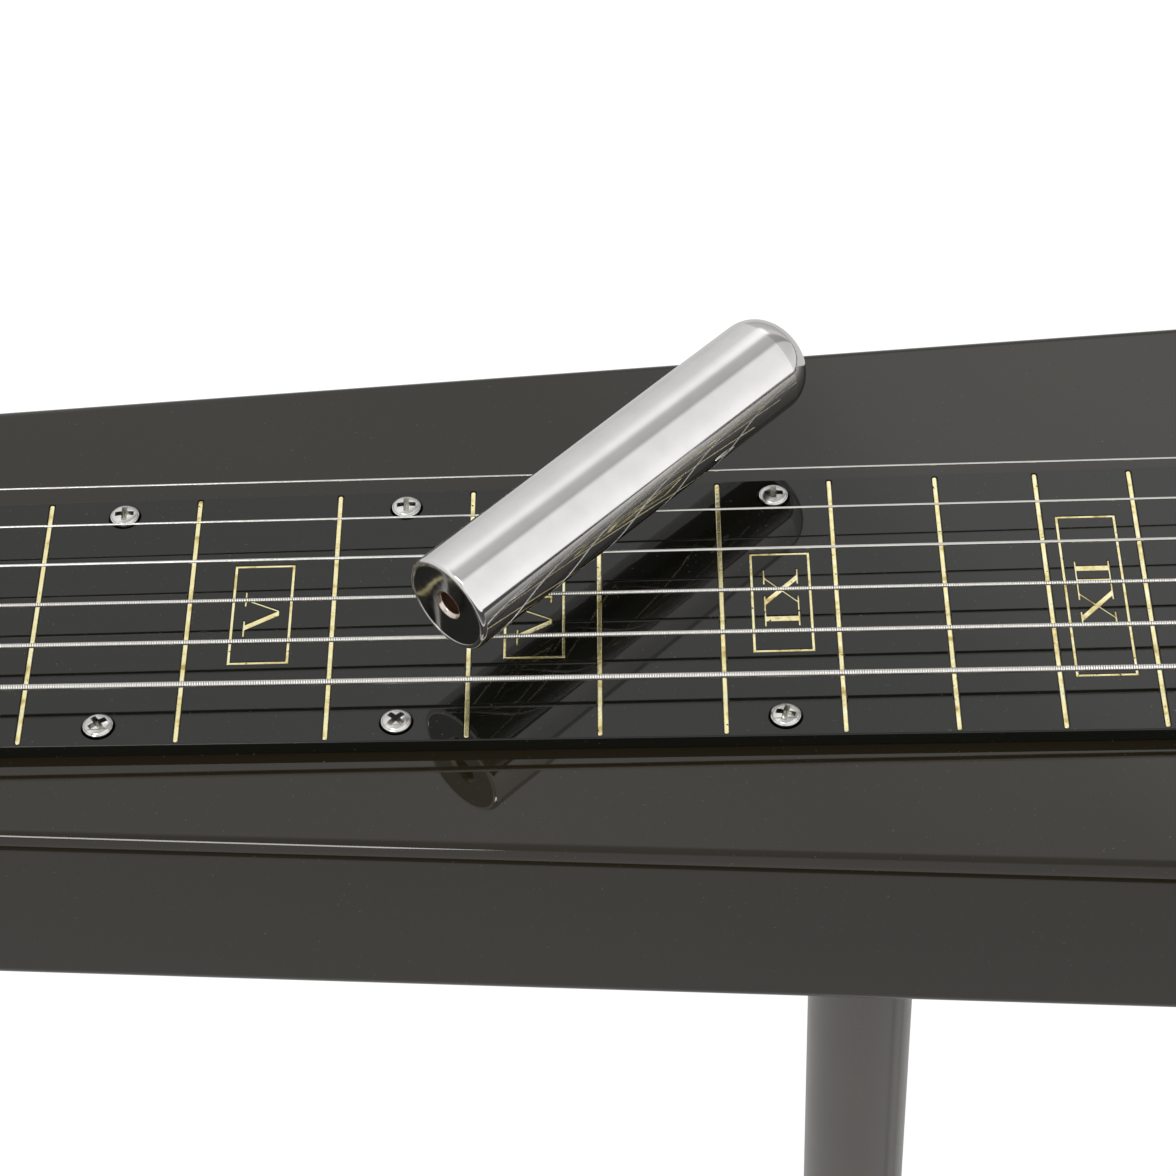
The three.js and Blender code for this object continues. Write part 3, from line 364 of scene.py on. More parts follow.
# %% [markdown]
# ## Shaping helpers
# Most pieces of a guitar are either turned on a lathe or sawn from a plate. So there is
# one helper that spins a profile, one that raises an outline, one that rounds edges, and
# one that drills and mills with Blender's exact Boolean.


# %% Turning
MERGE = 0.0005  # points closer than this, in mm, become one


def turned(profile, steps=64):
    """A profile of (radius, height, fillet) points, spun round the Z axis."""
    bm = bmesh.new()
    points = [bm.verts.new((point[0], 0, point[1])) for point in profile]
    for pair in zip(points, points[1:]):
        bm.edges.new(pair)
    for vert, point in zip(points, profile):
        if len(point) > 2:
            bmesh.ops.bevel(bm, geom=[vert], offset=point[2], offset_type="OFFSET", segments=5,
                            profile=0.5, affect="VERTICES", material=-1)
    bmesh.ops.spin(bm, geom=bm.verts[:] + bm.edges[:], cent=(0, 0, 0), axis=(0, 0, 1),
                   angle=math.tau, steps=steps, use_merge=True)
    bmesh.ops.remove_doubles(bm, verts=bm.verts, dist=MERGE)
    bmesh.ops.recalc_face_normals(bm, faces=bm.faces)
    return bm


def rod(radius, low, high, steps=32):
    return turned([(0, low), (radius, low), (radius, high), (0, high)], steps)


print("turning ready, faces of a rod:", len(rod(1, 0, 1).faces))


# %% Plates
NEAR = 0.001  # an edge is found by its place, to this many mm


def prism(outline, low, high):
    """An outline of (x, y) corners, raised from low to high."""
    bm = bmesh.new()
    face = bm.faces.new([bm.verts.new((x, y, low)) for x, y in outline])
    raised = bmesh.ops.extrude_face_region(bm, geom=[face])["geom"]
    verts = [item for item in raised if isinstance(item, bmesh.types.BMVert)]
    bmesh.ops.translate(bm, verts=verts, vec=(0, 0, high - low))
    bmesh.ops.recalc_face_normals(bm, faces=bm.faces)
    return bm


def round_edges(bm, radius, steps, chosen):
    """Rounds the edges for which chosen(first end, second end) is true."""
    picked = [edge for edge in bm.edges if chosen(*(vert.co for vert in edge.verts))]
    bmesh.ops.bevel(bm, geom=picked, offset=radius, offset_type="OFFSET", segments=steps,
                    profile=0.5, affect="EDGES", material=-1)


def slab(corners, low, high, top=0.0, bottom=0.0, steps=5):
    """A plate with corners (x, y, radius) and rounded top and bottom rims."""
    bm = prism([corner[:2] for corner in corners], low, high)
    for x, y, radius in corners:
        if radius:
            round_edges(bm, radius, 16 if radius > 8 else 8, lambda a, b: all(
                abs(end.x - x) + abs(end.y - y) < NEAR for end in (a, b)))
    for rim, height in ((top, high), (bottom, low)):
        if rim:
            round_edges(bm, rim, steps, lambda a, b: max(
                abs(end.z - height) for end in (a, b)) < NEAR)
    return bm


def rectangle(x0, x1, y0, y1, radius=0.0):
    return [(x0, y0, radius), (x1, y0, radius), (x1, y1, radius), (x0, y1, radius)]


print("plate faces:", len(slab(rectangle(0, 2, 0, 1, 0.2), 0, 1, 0.1).faces))


# %% Drilling and joining
def as_object(bm):
    """A loose object that holds the shape until it is used."""
    mesh = bpy.data.meshes.new("loose")
    bm.to_mesh(mesh)
    bm.free()
    made = bpy.data.objects.new("loose", mesh)
    bpy.context.scene.collection.objects.link(made)
    return made


def together(*parts):
    """Several shapes in one mesh."""
    whole = bmesh.new()
    for part in parts:
        mesh = bpy.data.meshes.new("part")
        part.to_mesh(mesh)
        part.free()
        whole.from_mesh(mesh)
        bpy.data.meshes.remove(mesh)
    return whole


def milled(bm, tools, how="DIFFERENCE"):
    """The shape after Blender's exact Boolean with the tools."""
    work, tool = as_object(bm), as_object(together(*tools))
    modifier = work.modifiers.new("mill", "BOOLEAN")
    modifier.operation, modifier.solver, modifier.use_self = how, "EXACT", True
    modifier.object = tool
    result = work.evaluated_get(bpy.context.evaluated_depsgraph_get())
    mesh = bpy.data.meshes.new_from_object(result)
    made = bmesh.new()
    made.from_mesh(mesh)
    bmesh.ops.remove_doubles(made, verts=made.verts, dist=MERGE)
    for loose in (work, tool):
        bpy.data.meshes.remove(loose.data)
    bpy.data.meshes.remove(mesh)
    return made


def moved(bm, x=0.0, y=0.0, z=0.0, turn=None):
    """The shape turned by a matrix, then moved."""
    if turn is not None:
        bm.transform(turn)
    bmesh.ops.translate(bm, verts=bm.verts, vec=(x, y, z))
    return bm


ALONG_X = Matrix.Rotation(math.pi / 2, 4, "Y")
ALONG_Y = Matrix.Rotation(-math.pi / 2, 4, "X")
ACROSS = Matrix.Rotation(math.pi / 2, 4, "X")
UPSIDE_DOWN = Matrix.Rotation(math.pi, 4, "X")
print("milled faces:", len(milled(rod(2, 0, 1), [rod(1, -1, 2)]).faces))


# %% [markdown]
# A finished shape becomes a piece: it is carried to the frame, shaded smooth except at
# its sharp edges, given its finish, and set to ride on a body. Where it takes the place
# of plain solids, those are hidden.


# %% Making a piece
def piece(bm, name, body, finish, stands_for=(), sharp=32, flat=True):
    """Makes the shape a piece. Edges steeper than sharp degrees stay sharp."""
    bm.transform(TO_FRAME)
    mesh = bpy.data.meshes.new(name)
    bm.to_mesh(mesh)
    bm.free()
    mesh.shade_smooth()
    mesh.set_sharp_from_angle(angle=math.radians(sharp))
    mesh.materials.append(finish)
    made = bpy.data.objects.new(name, mesh)
    bpy.context.scene.collection.objects.link(made)
    if flat:
        weighted = made.modifiers.new("flat faces stay flat", "WEIGHTED_NORMAL")
        weighted.keep_sharp = True
    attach(made, body)
    if stands_for:
        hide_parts(*stands_for)
    mesh.calc_loop_triangles()
    print(f"{name}: {len(mesh.loop_triangles)} triangles")


# %% [markdown]
# ## Body
# The body is one slab of wood that widens towards the tail, with a thinner head stepped
# down in front of the nut. Its edges are rounded to 3 mm, and because the lacquer is a
# mirror, the rounding has many steps. The holes are milled after the slab is shaped, as
# the maker does.

# %% Body outline
BODY_FRONT, TAIL, BODY_DEPTH = -9.1, 641.5, -38.0
HEAD_TOP, HEAD_BOTTOM, HEAD_END, HEAD_HALF = -16.0, -31.0, -146.0, 39.0
HEAD_ROOT = BODY_FRONT + 30  # the head's blank runs this far into the body


def edge_y(x, at_nut, at_saddle):
    """The place of a tapering edge, by its values at the nut and at the saddle."""
    return at_nut + (at_saddle - at_nut) * x / SCALE_LENGTH


def bass_y(x):
    return -edge_y(x, 41.75, 79.0)


def treble_y(x):
    return edge_y(x, 52.8, 91.4)


body_shape = slab([
    (BODY_FRONT, bass_y(BODY_FRONT), 10), (TAIL, bass_y(TAIL), 30),
    (TAIL, treble_y(TAIL), 30), (BODY_FRONT, treble_y(BODY_FRONT), 10),
], BODY_DEPTH, 0, 3, 3, 10)
head_shape = slab([
    (HEAD_END, -HEAD_HALF, 12), (HEAD_ROOT, -HEAD_HALF, 0),
    (HEAD_ROOT, HEAD_HALF, 0), (HEAD_END, HEAD_HALF, 12),
], HEAD_BOTTOM, HEAD_TOP, 2, 2, 6)
print("body faces:", len(body_shape.faces), "head faces:", len(head_shape.faces))

# %% Cove between the head and the body
COVE, COVE_STEPS, LAP = 11.0, 12, 5
cove_face = [(BODY_FRONT + LAP, HEAD_TOP - LAP), (BODY_FRONT + LAP, HEAD_TOP + COVE),
             (BODY_FRONT, HEAD_TOP + COVE)]
for step in range(1, COVE_STEPS):
    turn = math.pi / 2 * step / COVE_STEPS
    cove_face.append((BODY_FRONT - COVE + COVE * math.cos(turn),
                      HEAD_TOP + COVE - COVE * math.sin(turn)))
cove_face += [(BODY_FRONT - COVE, HEAD_TOP), (BODY_FRONT - COVE, HEAD_TOP - LAP)]
cove = moved(prism(cove_face, -37, 37), turn=ACROSS)
print("cove corners:", len(cove_face))

# %% Holes in the body
POST_X, POST_ROW, POST_HOLE = (-44, -82, -120), 26.5, 3.3
POSTS = [(x, side * POST_ROW, side) for side, row in ((1, POST_X), (-1, POST_X[::-1])) for x in row]
POT_X, POT_Y = (562, 607), 66
PICKUP_X, JACK_Y, JACK_Z = 512.0, 36.0, -19.0
holes = [moved(rod(POST_HOLE, HEAD_BOTTOM - 2, HEAD_TOP + 2), x, y) for x, y, side in POSTS]
holes += [moved(rod(5.05, -8, 2), x, POT_Y) for x in POT_X]
holes.append(slab(rectangle(PICKUP_X - 19.6, PICKUP_X + 19.6, -45.6, 45.6, 5.6), -13, 2))
holes.append(slab(rectangle(548, 624, 18, 80, 9), -40, -6))
holes.append(slab(rectangle(540, 632, 10, 88, 9), -40, -35.9))
holes.append(moved(rod(10, 615, TAIL + 2, 48), y=JACK_Y, z=JACK_Z, turn=ALONG_X))
body_shape = milled(body_shape, [head_shape, cove], "UNION")
body_shape = milled(body_shape, holes)
piece(body_shape, "wood_body", "guitar", black_lacquer, ["body"])

# %% [markdown]
# ## Fretboard
# The board is a polished black acrylic plate. Real frets aren't needed on a lap steel, so
# each one is only an engraved line. The grooves are milled into the plate, and the same
# shapes, a little narrower and lower, become the gold that fills them.

# %% Board outline and fret lines
FRETS, NUT_WIDTH, END_WIDTH = 24, 56.8, 65.8


def fret_x(fret):
    return SCALE_LENGTH * (1 - 2 ** (-fret / 12))


BOARD_END = fret_x(FRETS) + 8


def board_half(x):
    return (NUT_WIDTH + (END_WIDTH - NUT_WIDTH) * x / BOARD_END) / 2


GROOVE_FLOOR, OVER_BOARD, FILL_TOP = BOARD_TOP - 0.5, BOARD_TOP + 2, BOARD_TOP - 0.04
GROOVE_HALF, FILL_HALF = 0.6, 0.46
fret_grooves, fret_fill = [], []
for fret in range(1, FRETS + 1):
    x, half = fret_x(fret), board_half(fret_x(fret)) - 0.5
    fret_grooves.append(slab(rectangle(x - GROOVE_HALF, x + GROOVE_HALF, -half, half, 0.5),
                             GROOVE_FLOOR, OVER_BOARD))
    fret_fill.append(slab(rectangle(x - FILL_HALF, x + FILL_HALF, 0.15 - half, half - 0.15, 0.4),
                          GROOVE_FLOOR, FILL_TOP, 0.2))
print("fret lines:", len(fret_fill), "last at", round(fret_x(FRETS), 1))

# %% [markdown]
# The marks are Roman numerals in thin frames. They are read from the head's end, so a
# letter's top points to the nut and its right side to the treble edge. Each stroke is a
# slanted bar with thin serifs, as in plain book letters.

# %% Numerals
LETTER_HEIGHT, THICK, THIN, SERIF, FRAME_BAR = 6.2, 1.2, 0.36, 0.32, 0.5


def bar_mark(x0, x1, y0, y1, grow):
    """A straight stroke, as a tool that reaches from under the fill to above the board."""
    return slab(rectangle(x0 - grow, x1 + grow, y0 - grow, y1 + grow), GROOVE_FLOOR, OVER_BOARD)


def stroke(x, y, top, foot, width, grow):
    """A bar from (top) to (foot) across the letter, both measured from its middle."""
    high, low, half = x - LETTER_HEIGHT / 2 - grow, x + LETTER_HEIGHT / 2 + grow, width / 2 + grow
    ends = [(high, y + top - half), (low, y + foot - half),
            (low, y + foot + half), (high, y + top + half)]
    return prism(ends, GROOVE_FLOOR, OVER_BOARD)


def serif(x, y, at, length, foot, grow):
    """A thin line across the end of a stroke, at the letter's top or foot."""
    edge = x + LETTER_HEIGHT / 2 - SERIF if foot else x - LETTER_HEIGHT / 2
    return bar_mark(edge, edge + SERIF, y + at - length / 2, y + at + length / 2, grow)


def letter_i(x, y, grow):
    return [stroke(x, y, 0, 0, THICK, grow),
            serif(x, y, 0, 3.5, False, grow), serif(x, y, 0, 3.5, True, grow)]


def letter_v(x, y, grow):
    return [stroke(x, y, -3.4, 0.1, THICK, grow), stroke(x, y, 3.5, 0.5, THIN, grow),
            serif(x, y, -3.5, 3.7, False, grow), serif(x, y, 3.6, 3.4, False, grow)]


def letter_x(x, y, grow):
    feet = [serif(x, y, at, length, foot, grow) for at, length, foot in (
        (-3.2, 3.6, False), (3.1, 3.4, False), (-3.2, 3.4, True), (3.2, 3.6, True))]
    return [stroke(x, y, -3.2, 3.2, THICK + 0.2, grow), stroke(x, y, 3.1, -3.2, THIN, grow)] + feet


def frame_mark(x0, x1, y0, y1, grow):
    """The four thin bars of a numeral's frame."""
    return [bar_mark(x0, x1, y0, y0 + FRAME_BAR, grow), bar_mark(x0, x1, y1 - FRAME_BAR, y1, grow),
            bar_mark(x0, x0 + FRAME_BAR, y0, y1, grow), bar_mark(x1 - FRAME_BAR, x1, y0, y1, grow)]


# %% [markdown]
# The table gives each mark's fret, its shift from the middle between two fret lines, half
# the length of its frame, and its letters with their places across the board. Where the
# lines come close together the mark is squeezed to fit between them. Drawn once at full
# width it is the groove, and once without the growth it is the fill.

# %% Marks
FRAME_HALF, LINE_ROOM, GROOVE_GROWTH = 5.35, 1.0, 0.09
MARKS = (
    (3, 0.0, 11.9, ((letter_i, -3.3), (letter_i, 0), (letter_i, 3.3))),
    (5, 0.12, 11.9, ((letter_v, 0.4),)),
    (7, 0.0, 12.1, ((letter_v, -3.2), (letter_i, 3.2), (letter_i, 6.7))),
    (9, 0.4, 11.9, ((letter_i, -3.7), (letter_x, 3.2))),
    (12, -0.46, 19.3, ((letter_x, -2.4), (letter_i, 3.4), (letter_i, 6.6))),
    (15, 0.0, 11.9, ((letter_x, -4.8), (letter_v, 5.0))),
    (17, 0.0, 15.0, ((letter_x, -8.5), (letter_v, 1.6), (letter_i, 8.5), (letter_i, 11.8))),
    (19, 0.0, 13.0, ((letter_x, -6.7), (letter_i, 0), (letter_x, 6.9))),
    (21, 0.0, 13.0, ((letter_x, -6.2), (letter_x, 3.6), (letter_i, 9.4))),
    (24, 0.0, 18.0, ((letter_x, -11.4), (letter_x, -1.6), (letter_i, 4.8), (letter_v, 11.2))),
)


def all_marks(grow):
    marks = []
    for fret, shift, half, letters in MARKS:
        room = (fret_x(fret) - fret_x(fret - 1)) / 2
        strokes = frame_mark(-FRAME_HALF, FRAME_HALF, -half + 0.35, half + 0.25, grow)
        for letter, y in letters:
            strokes += letter(0, y, grow)
        squeeze = Matrix.Scale(min(1, (room - LINE_ROOM) / FRAME_HALF), 4, (1, 0, 0))
        marks.append(moved(together(*strokes), fret_x(fret) - room + shift, turn=squeeze))
    return together(*marks)


print("marks:", len(MARKS), "faces of the strokes:", len(all_marks(0).faces))

# %% Board with its grooves and screw holes
SCREW_FRETS, SCREW_INSET = (1, 4, 6, 9, 14, 23), 4.3
screw_places = []
for fret in SCREW_FRETS:
    x = (fret_x(fret - 1) + fret_x(fret)) / 2
    screw_places.append((x, board_half(x) - SCREW_INSET))
board_outline = [(SEAM, -board_half(SEAM), 0), (BOARD_END, -board_half(BOARD_END), 0),
                 (BOARD_END, board_half(BOARD_END), 0), (SEAM, board_half(SEAM), 0)]
fill = milled(slab(rectangle(-1, 500, -40, 40), BOARD_TOP - 1, FILL_TOP), [all_marks(0)],
              "INTERSECT")
round_edges(fill, 0.1, 2, lambda a, b: max(abs(end.z - FILL_TOP) for end in (a, b)) < NEAR)
countersinks = [
    moved(turned([(0, -1), (1.6, -1), (1.6, 1.3), (3.0, BOARD_TOP), (3.0, 4), (0, 4)], 40),
          x, side * y) for x, y in screw_places for side in (-1, 1)]
board = milled(slab(board_outline, SEAM, BOARD_TOP, 0.25, 0.1, 3),
               [all_marks(GROOVE_GROWTH)] + fret_grooves + countersinks)
piece(board, "acrylic_board", "guitar", black_acrylic, ["fretboard"])
piece(together(fill, *fret_fill), "gold_lines", "guitar", gold_fill, sharp=40)


# %% [markdown]
# ## Screws
# Domed screws with a cross recess hold the board. The head has a thin rim that stands
# proud of the countersink. One screw is turned and its cross is cut, and the same helper
# serves the small screws of the other plates.


# %% Cross-head screw
def cross_screw(head, dome, cone, shank, length, turn=0.0):
    """A screw whose head sits on height zero, with a cross recess."""
    radius = head / 2
    curve = [(radius * 0.93 * math.cos(angle), 0.45 * dome + 0.55 * dome * math.sin(angle))
             for angle in (math.pi / 2 * step / 10 for step in range(10))]
    tip = max(shank * 0.35, 0.1)
    profile = [(0, -length), (shank / 2 - tip, -length), (shank / 2, -length + 2 * tip),
               (shank / 2, -cone), (radius, -0.02), (radius, 0.35 * dome)] + curve + [(0, dome)]
    made = turned(profile, 40)
    cross = []
    for angle in (0, math.pi / 2):
        arm = slab(rectangle(-head * 0.38, head * 0.38, -head * 0.105, head * 0.105),
                   -cone, dome + 1)
        for vert in arm.verts:
            if vert.co.z < 0:
                vert.co.x *= 0.6
                vert.co.y *= 0.75
        cross.append(moved(arm, turn=Matrix.Rotation(angle + turn, 4, "Z")))
    return milled(made, cross)


SCREW_TURNS = (0.1, 0.75, 0.6, 0.03, 0.8, 0.03, -0.26, 0.0, 0.15, 1.1, 0.5, 0.25)
for i, (x, y) in enumerate(screw_places):
    for side, edge in ((-1, "bass"), (1, "treble")):
        screw = cross_screw(5.15, 1.1, 1.4, 2.6, 14, SCREW_TURNS[2 * i + (side > 0)])
        piece(moved(screw, x, side * y, BOARD_TOP), f"board_screw_{edge}_{i + 1}", "guitar",
              plated_screw, [f"fretboard_screw_{edge}_{i + 1}"])

# %% [markdown]
# ## Strings
# Each string runs from its ball end through the bridge's wall, over the saddle and the nut,
# and then winds up its post. The route is the same as in the solids. A curve with a round
# section follows it, and is made a mesh at once.

# %% String routes
GAUGES = (0.36, 0.43, 0.56, 0.71, 0.86, 1.07)
TURNS, STEPS_PER_TURN, COIL_RADIUS, TOP_TURN = 1.75, 24, 3.3, HEAD_TOP + 13
TURN_GAP, NUT_BACK, WALL_X, BALL_X, ANCHOR_Z = 0.45, -6.3, 613.5, 616.2 + 1.9, 8.4


def string_z(x):
    return BOARD_TOP + edge_y(x, 9.3, 7.8)


def string_y(n, x):
    return (0.5 - n / 5) * edge_y(x, 46.8, 53.0)


def string_route(n):
    """The string's points, and the angle at which it meets the hole of its post."""
    gauge, (post_x, post_y, side) = GAUGES[n], POSTS[n]
    radius = COIL_RADIUS + gauge / 2
    reach = math.hypot(NUT_BACK - post_x, string_y(n, 0) - post_y)
    bearing = math.atan2(string_y(n, 0) - post_y, NUT_BACK - post_x)
    first = bearing - side * math.acos(radius / reach)
    points = [(BALL_X, string_y(n, SCALE_LENGTH), ANCHOR_Z),
              (WALL_X, string_y(n, SCALE_LENGTH), ANCHOR_Z),
              (SCALE_LENGTH + 1.2, string_y(n, SCALE_LENGTH), string_z(SCALE_LENGTH) - 0.06),
              (SCALE_LENGTH - 1, string_y(n, SCALE_LENGTH), string_z(SCALE_LENGTH)),
              (0, string_y(n, 0), string_z(0)), (NUT_BACK, string_y(n, 0), string_z(0))]
    for step in range(int(TURNS * STEPS_PER_TURN) + 1):
        turn = step / STEPS_PER_TURN
        angle = first - side * math.tau * turn
        points.append((post_x + radius * math.cos(angle), post_y + radius * math.sin(angle),
                       TOP_TURN - (gauge + TURN_GAP) * (TURNS - turn)))
    return points, first - side * math.tau * TURNS


def tube(points, radius):
    """A round wire along the points, as a closed mesh."""
    curve = bpy.data.curves.new("wire", "CURVE")
    curve.dimensions, curve.fill_mode = "3D", "FULL"
    curve.bevel_depth, curve.bevel_resolution, curve.use_fill_caps = radius, 4, True
    spline = curve.splines.new("POLY")
    spline.points.add(len(points) - 1)
    for point, place in zip(spline.points, points):
        point.co = (*place, 1)
    wire = bpy.data.objects.new("wire", curve)
    bpy.context.scene.collection.objects.link(wire)
    result = wire.evaluated_get(bpy.context.evaluated_depsgraph_get())
    mesh = bpy.data.meshes.new_from_object(result)
    made = bmesh.new()
    made.from_mesh(mesh)
    bpy.data.meshes.remove(mesh)
    bpy.data.curves.remove(curve)
    return made


PLAIN = 3
for n, gauge in enumerate(GAUGES):
    route = string_route(n)[0]
    ball = turned([(0, -1.6), (1.9, -1.6, 0.3), (1.9, -0.5, 0.2), (1.3, -0.3), (1.3, 0.3),
                   (1.9, 0.5, 0.2), (1.9, 1.6, 0.3), (0, 1.6)], 24)
    wire = together(tube(route, gauge / 2), moved(ball, *route[0], turn=ALONG_Y))
    piece(wire, f"wire_{n + 1}", "guitar", wound_wire if n >= PLAIN else plain_wire,
          [f"string_{n + 1}"], sharp=50, flat=False)

# %% [markdown]
# ## Tone bar
# The bar is a solid steel rod. One end is flat, with a shallow dish and a drilled hole,
# and the other is round so that it slides over the strings. The dish is ground and not
# polished as finely, so it is a disc of its own, and the hole has a brass lining with a
# steel lip. The bar lies slanted, as the player left it.

# %% Tone bar
BAR_RADIUS, BAR_LENGTH, BAR_NOSE, BAR_GAP = 9.0, 85.5, 6.6, 0.3
BAR_X, BAR_Y = 164.8, -16.4
BAR_END = (BAR_X, BAR_Y, string_z(BAR_X) + GAUGES[4] / 2 + BAR_GAP + BAR_RADIUS)
BAR_TURN = Matrix.Rotation(math.radians(46.1), 4, "Z") @ ALONG_X
profile = [(0, 5), (3, 5), (3, 1.2), (7.8, 1.2), (7.8, 0.1, 0.05), (8.0, 0), (8.38, 0.08),
           (8.71, 0.29), (8.92, 0.62), (BAR_RADIUS, 1), (BAR_RADIUS, BAR_LENGTH - BAR_NOSE)]
profile += [(BAR_RADIUS - BAR_NOSE * (1 - math.cos(angle)),
             BAR_LENGTH - BAR_NOSE * (1 - math.sin(angle)))
            for angle in (math.pi / 2 * step / 20 for step in range(1, 21))] + [(0, BAR_LENGTH)]
dish = [(2.95, 1.15), (2.95, 0.36), (5, 0.28), (7, 0.18), (7.75, 0.15), (7.75, 1.15),
        (2.95, 1.15)]
lip = [(2.25, 1.6), (2.25, 0.95, 0.15), (2.85, 0.32, 0.2), (2.9, 0.4), (2.9, 1.6), (2.25, 1.6)]
lining = [(0, 4.9), (2.85, 4.9), (2.85, 1.7), (2.3, 1.7), (2.25, 4), (0, 4)]
for name, shape, finish, stands_for in (
        ("steel_bar", profile, polished_steel, ["tone_bar"]), ("bar_dish", dish, dished_steel, ()),
        ("bar_lip", lip, rubbed_steel, ()), ("bar_lining", lining, bore_brass, ())):
    piece(moved(turned(shape, 128), *BAR_END, BAR_TURN), name, "bar", finish,
          stands_for, sharp=40)
print("bar's middle height over the board:", round(BAR_END[2] - BOARD_TOP, 2))

# %% [markdown]
# ## Legs
# Each leg is a painted steel tube that screws into a flanged socket under the body, and
# stands in a rubber foot.

# %% Legs, sockets and feet
LEGS = {"front": (239.0, 0.0), "rear_bass": (478.0, -60), "rear_treble": (478.0, 60)}
SCREW_CIRCLE = 21.5
for name, (x, across) in LEGS.items():
    y = (bass_y(x) + treble_y(x)) / 2 + across
    socket = turned([(8.8, -20), (15, -20, 1), (15, -4.5, 1.2), (18, -3.1), (27, -2.6, 0.8),
                     (27, -0.1), (8.8, -0.1), (8.8, -20)], 64)
    tube_leg = turned([(9, -633.9), (10.5, -633.9), (10.5, -20.1, 0.8), (8.5, -20.1),
                       (8.5, -5.1, 0.6), (5.5, -5.1), (5.5, -41), (9, -41), (9, -633.9)], 64)
    foot = turned([(0, -640), (12.5, -640, 0.6), (14.5, -638, 1.2), (14.2, -628),
                   (13.6, -627.4, 0.3), (13.6, -625.6, 0.3), (13.9, -625), (12.7, -608, 0.8),
                   (10.8, -608), (10.8, -634), (0, -634)], 64)
    for shape, what, finish, slot, node in (
            (socket, "socket", nickel_plate, "nickel", f"leg_socket_{name}"),
            (tube_leg, "tube", leg_paint, "leg_paint", f"leg_{name}"),
            (foot, "rubber", foot_rubber, "foot_rubber", f"foot_{name}")):
        piece(moved(shape, x, y, BODY_DEPTH), f"{what}_{name}", "guitar", finish, [node])
    screws = [moved(cross_screw(5, 1.4, 0.5, 2.4, 4, turn), x + SCREW_CIRCLE * math.cos(turn),
                    y + SCREW_CIRCLE * math.sin(turn), BODY_DEPTH - 2.6, UPSIDE_DOWN)
              for turn in (0.5, 2.6, 4.7)]
    piece(together(*screws), f"socket_screws_{name}", "guitar", plated_screw)

# %% [markdown]
# ## Nut and saddle
# Two polished steel bars hold the strings up. The nut sits at the end of the board, and
# the saddle stands on the bridge plate. Each is shaped from its side view, its edges are
# softened, and then every string files its own slot.


# %% Nut and saddle
def from_side(outline, half_width, soften):
    """A bar with this side view (along the strings, up), running across the strings."""
    bm = moved(prism(outline, -half_width, half_width), turn=ACROSS)
    round_edges(bm, soften, 3, lambda a, b: True)
    return bm


def string_slots(x0, x1):
    return [moved(rod(gauge / 2 + 0.08, x0, x1, 16), 0, string_y(n, (x0 + x1) / 2),
                  string_z((x0 + x1) / 2) + 0.04, ALONG_X) for n, gauge in enumerate(GAUGES)]


nut_bar = from_side([(-6, 0.1), (0, 0.1), (0, 12), (-4.5, 12), (-6, 10.5)], 27.5, 0.35)
nut_bar = milled(nut_bar, string_slots(-8, 2))
piece(nut_bar, "nut_bar", "guitar", bright_chrome, ["nut"])

SADDLE_TOP = string_z(SCALE_LENGTH)
arch = [(SCALE_LENGTH - 3, 2.6), (SCALE_LENGTH + 3, 2.6)]
arch += [(SCALE_LENGTH + 3 * math.cos(angle), SADDLE_TOP - 3 + 3 * math.sin(angle))
         for angle in (math.pi * step / 16 for step in range(17))]
saddle_bar = moved(prism(arch, -32, 32), turn=ACROSS)
round_edges(saddle_bar, 0.4, 3, lambda a, b: abs(a.y - b.y) < NEAR)
saddle_bar = milled(saddle_bar, string_slots(SCALE_LENGTH - 6, SCALE_LENGTH + 6))
piece(saddle_bar, "saddle_bar", "guitar", bright_chrome, ["bridge_saddle"])

# %% [markdown]
# ## Bridge
# The bridge is a thick chromed plate with a wall at its back. The strings pass through
# holes in the wall, and their ball ends rest behind it.

# %% Bridge plate
base = slab(rectangle(555.5, 621.5, -42, 42, 6), 0.1, 2.5, 0.5)
wall = slab([(-33, 1.3, 0), (33, 1.3, 0), (33, 14.5, 6), (-33, 14.5, 6)], 0, 2.4, 0.4, 0.4)
stand_up = Matrix.Rotation(math.pi / 2, 4, "Z") @ ACROSS
bridge = milled(base, [moved(wall, WALL_X, turn=stand_up)], "UNION")
anchor_holes = [moved(rod(0.9, 610, 620, 20), 0, string_y(n, SCALE_LENGTH), ANCHOR_Z, ALONG_X)
                for n in range(6)]
piece(milled(bridge, anchor_holes), "bridge_base", "guitar", bright_chrome,
      ["bridge_plate"])


def screw_row(name, places, head, turn=None):
    """Small cross-head screws at several places, as one piece."""
    screws = [moved(cross_screw(head, head * 0.24, 0.5, head * 0.5, 4, 0.7 * i), *place, turn)
              for i, place in enumerate(places)]
    piece(together(*screws), name, "guitar", plated_screw)


screw_row("bridge_screws", [(x, y, 2.5) for x in (562, 606) for y in (-36.5, 36.5)], 5.2)

# %% [markdown]
# ## Pickup
# Under the strings lies a coil with one steel pole for each string. A moulded cover hides
# the coil, and the slotted tops of the poles show through it.

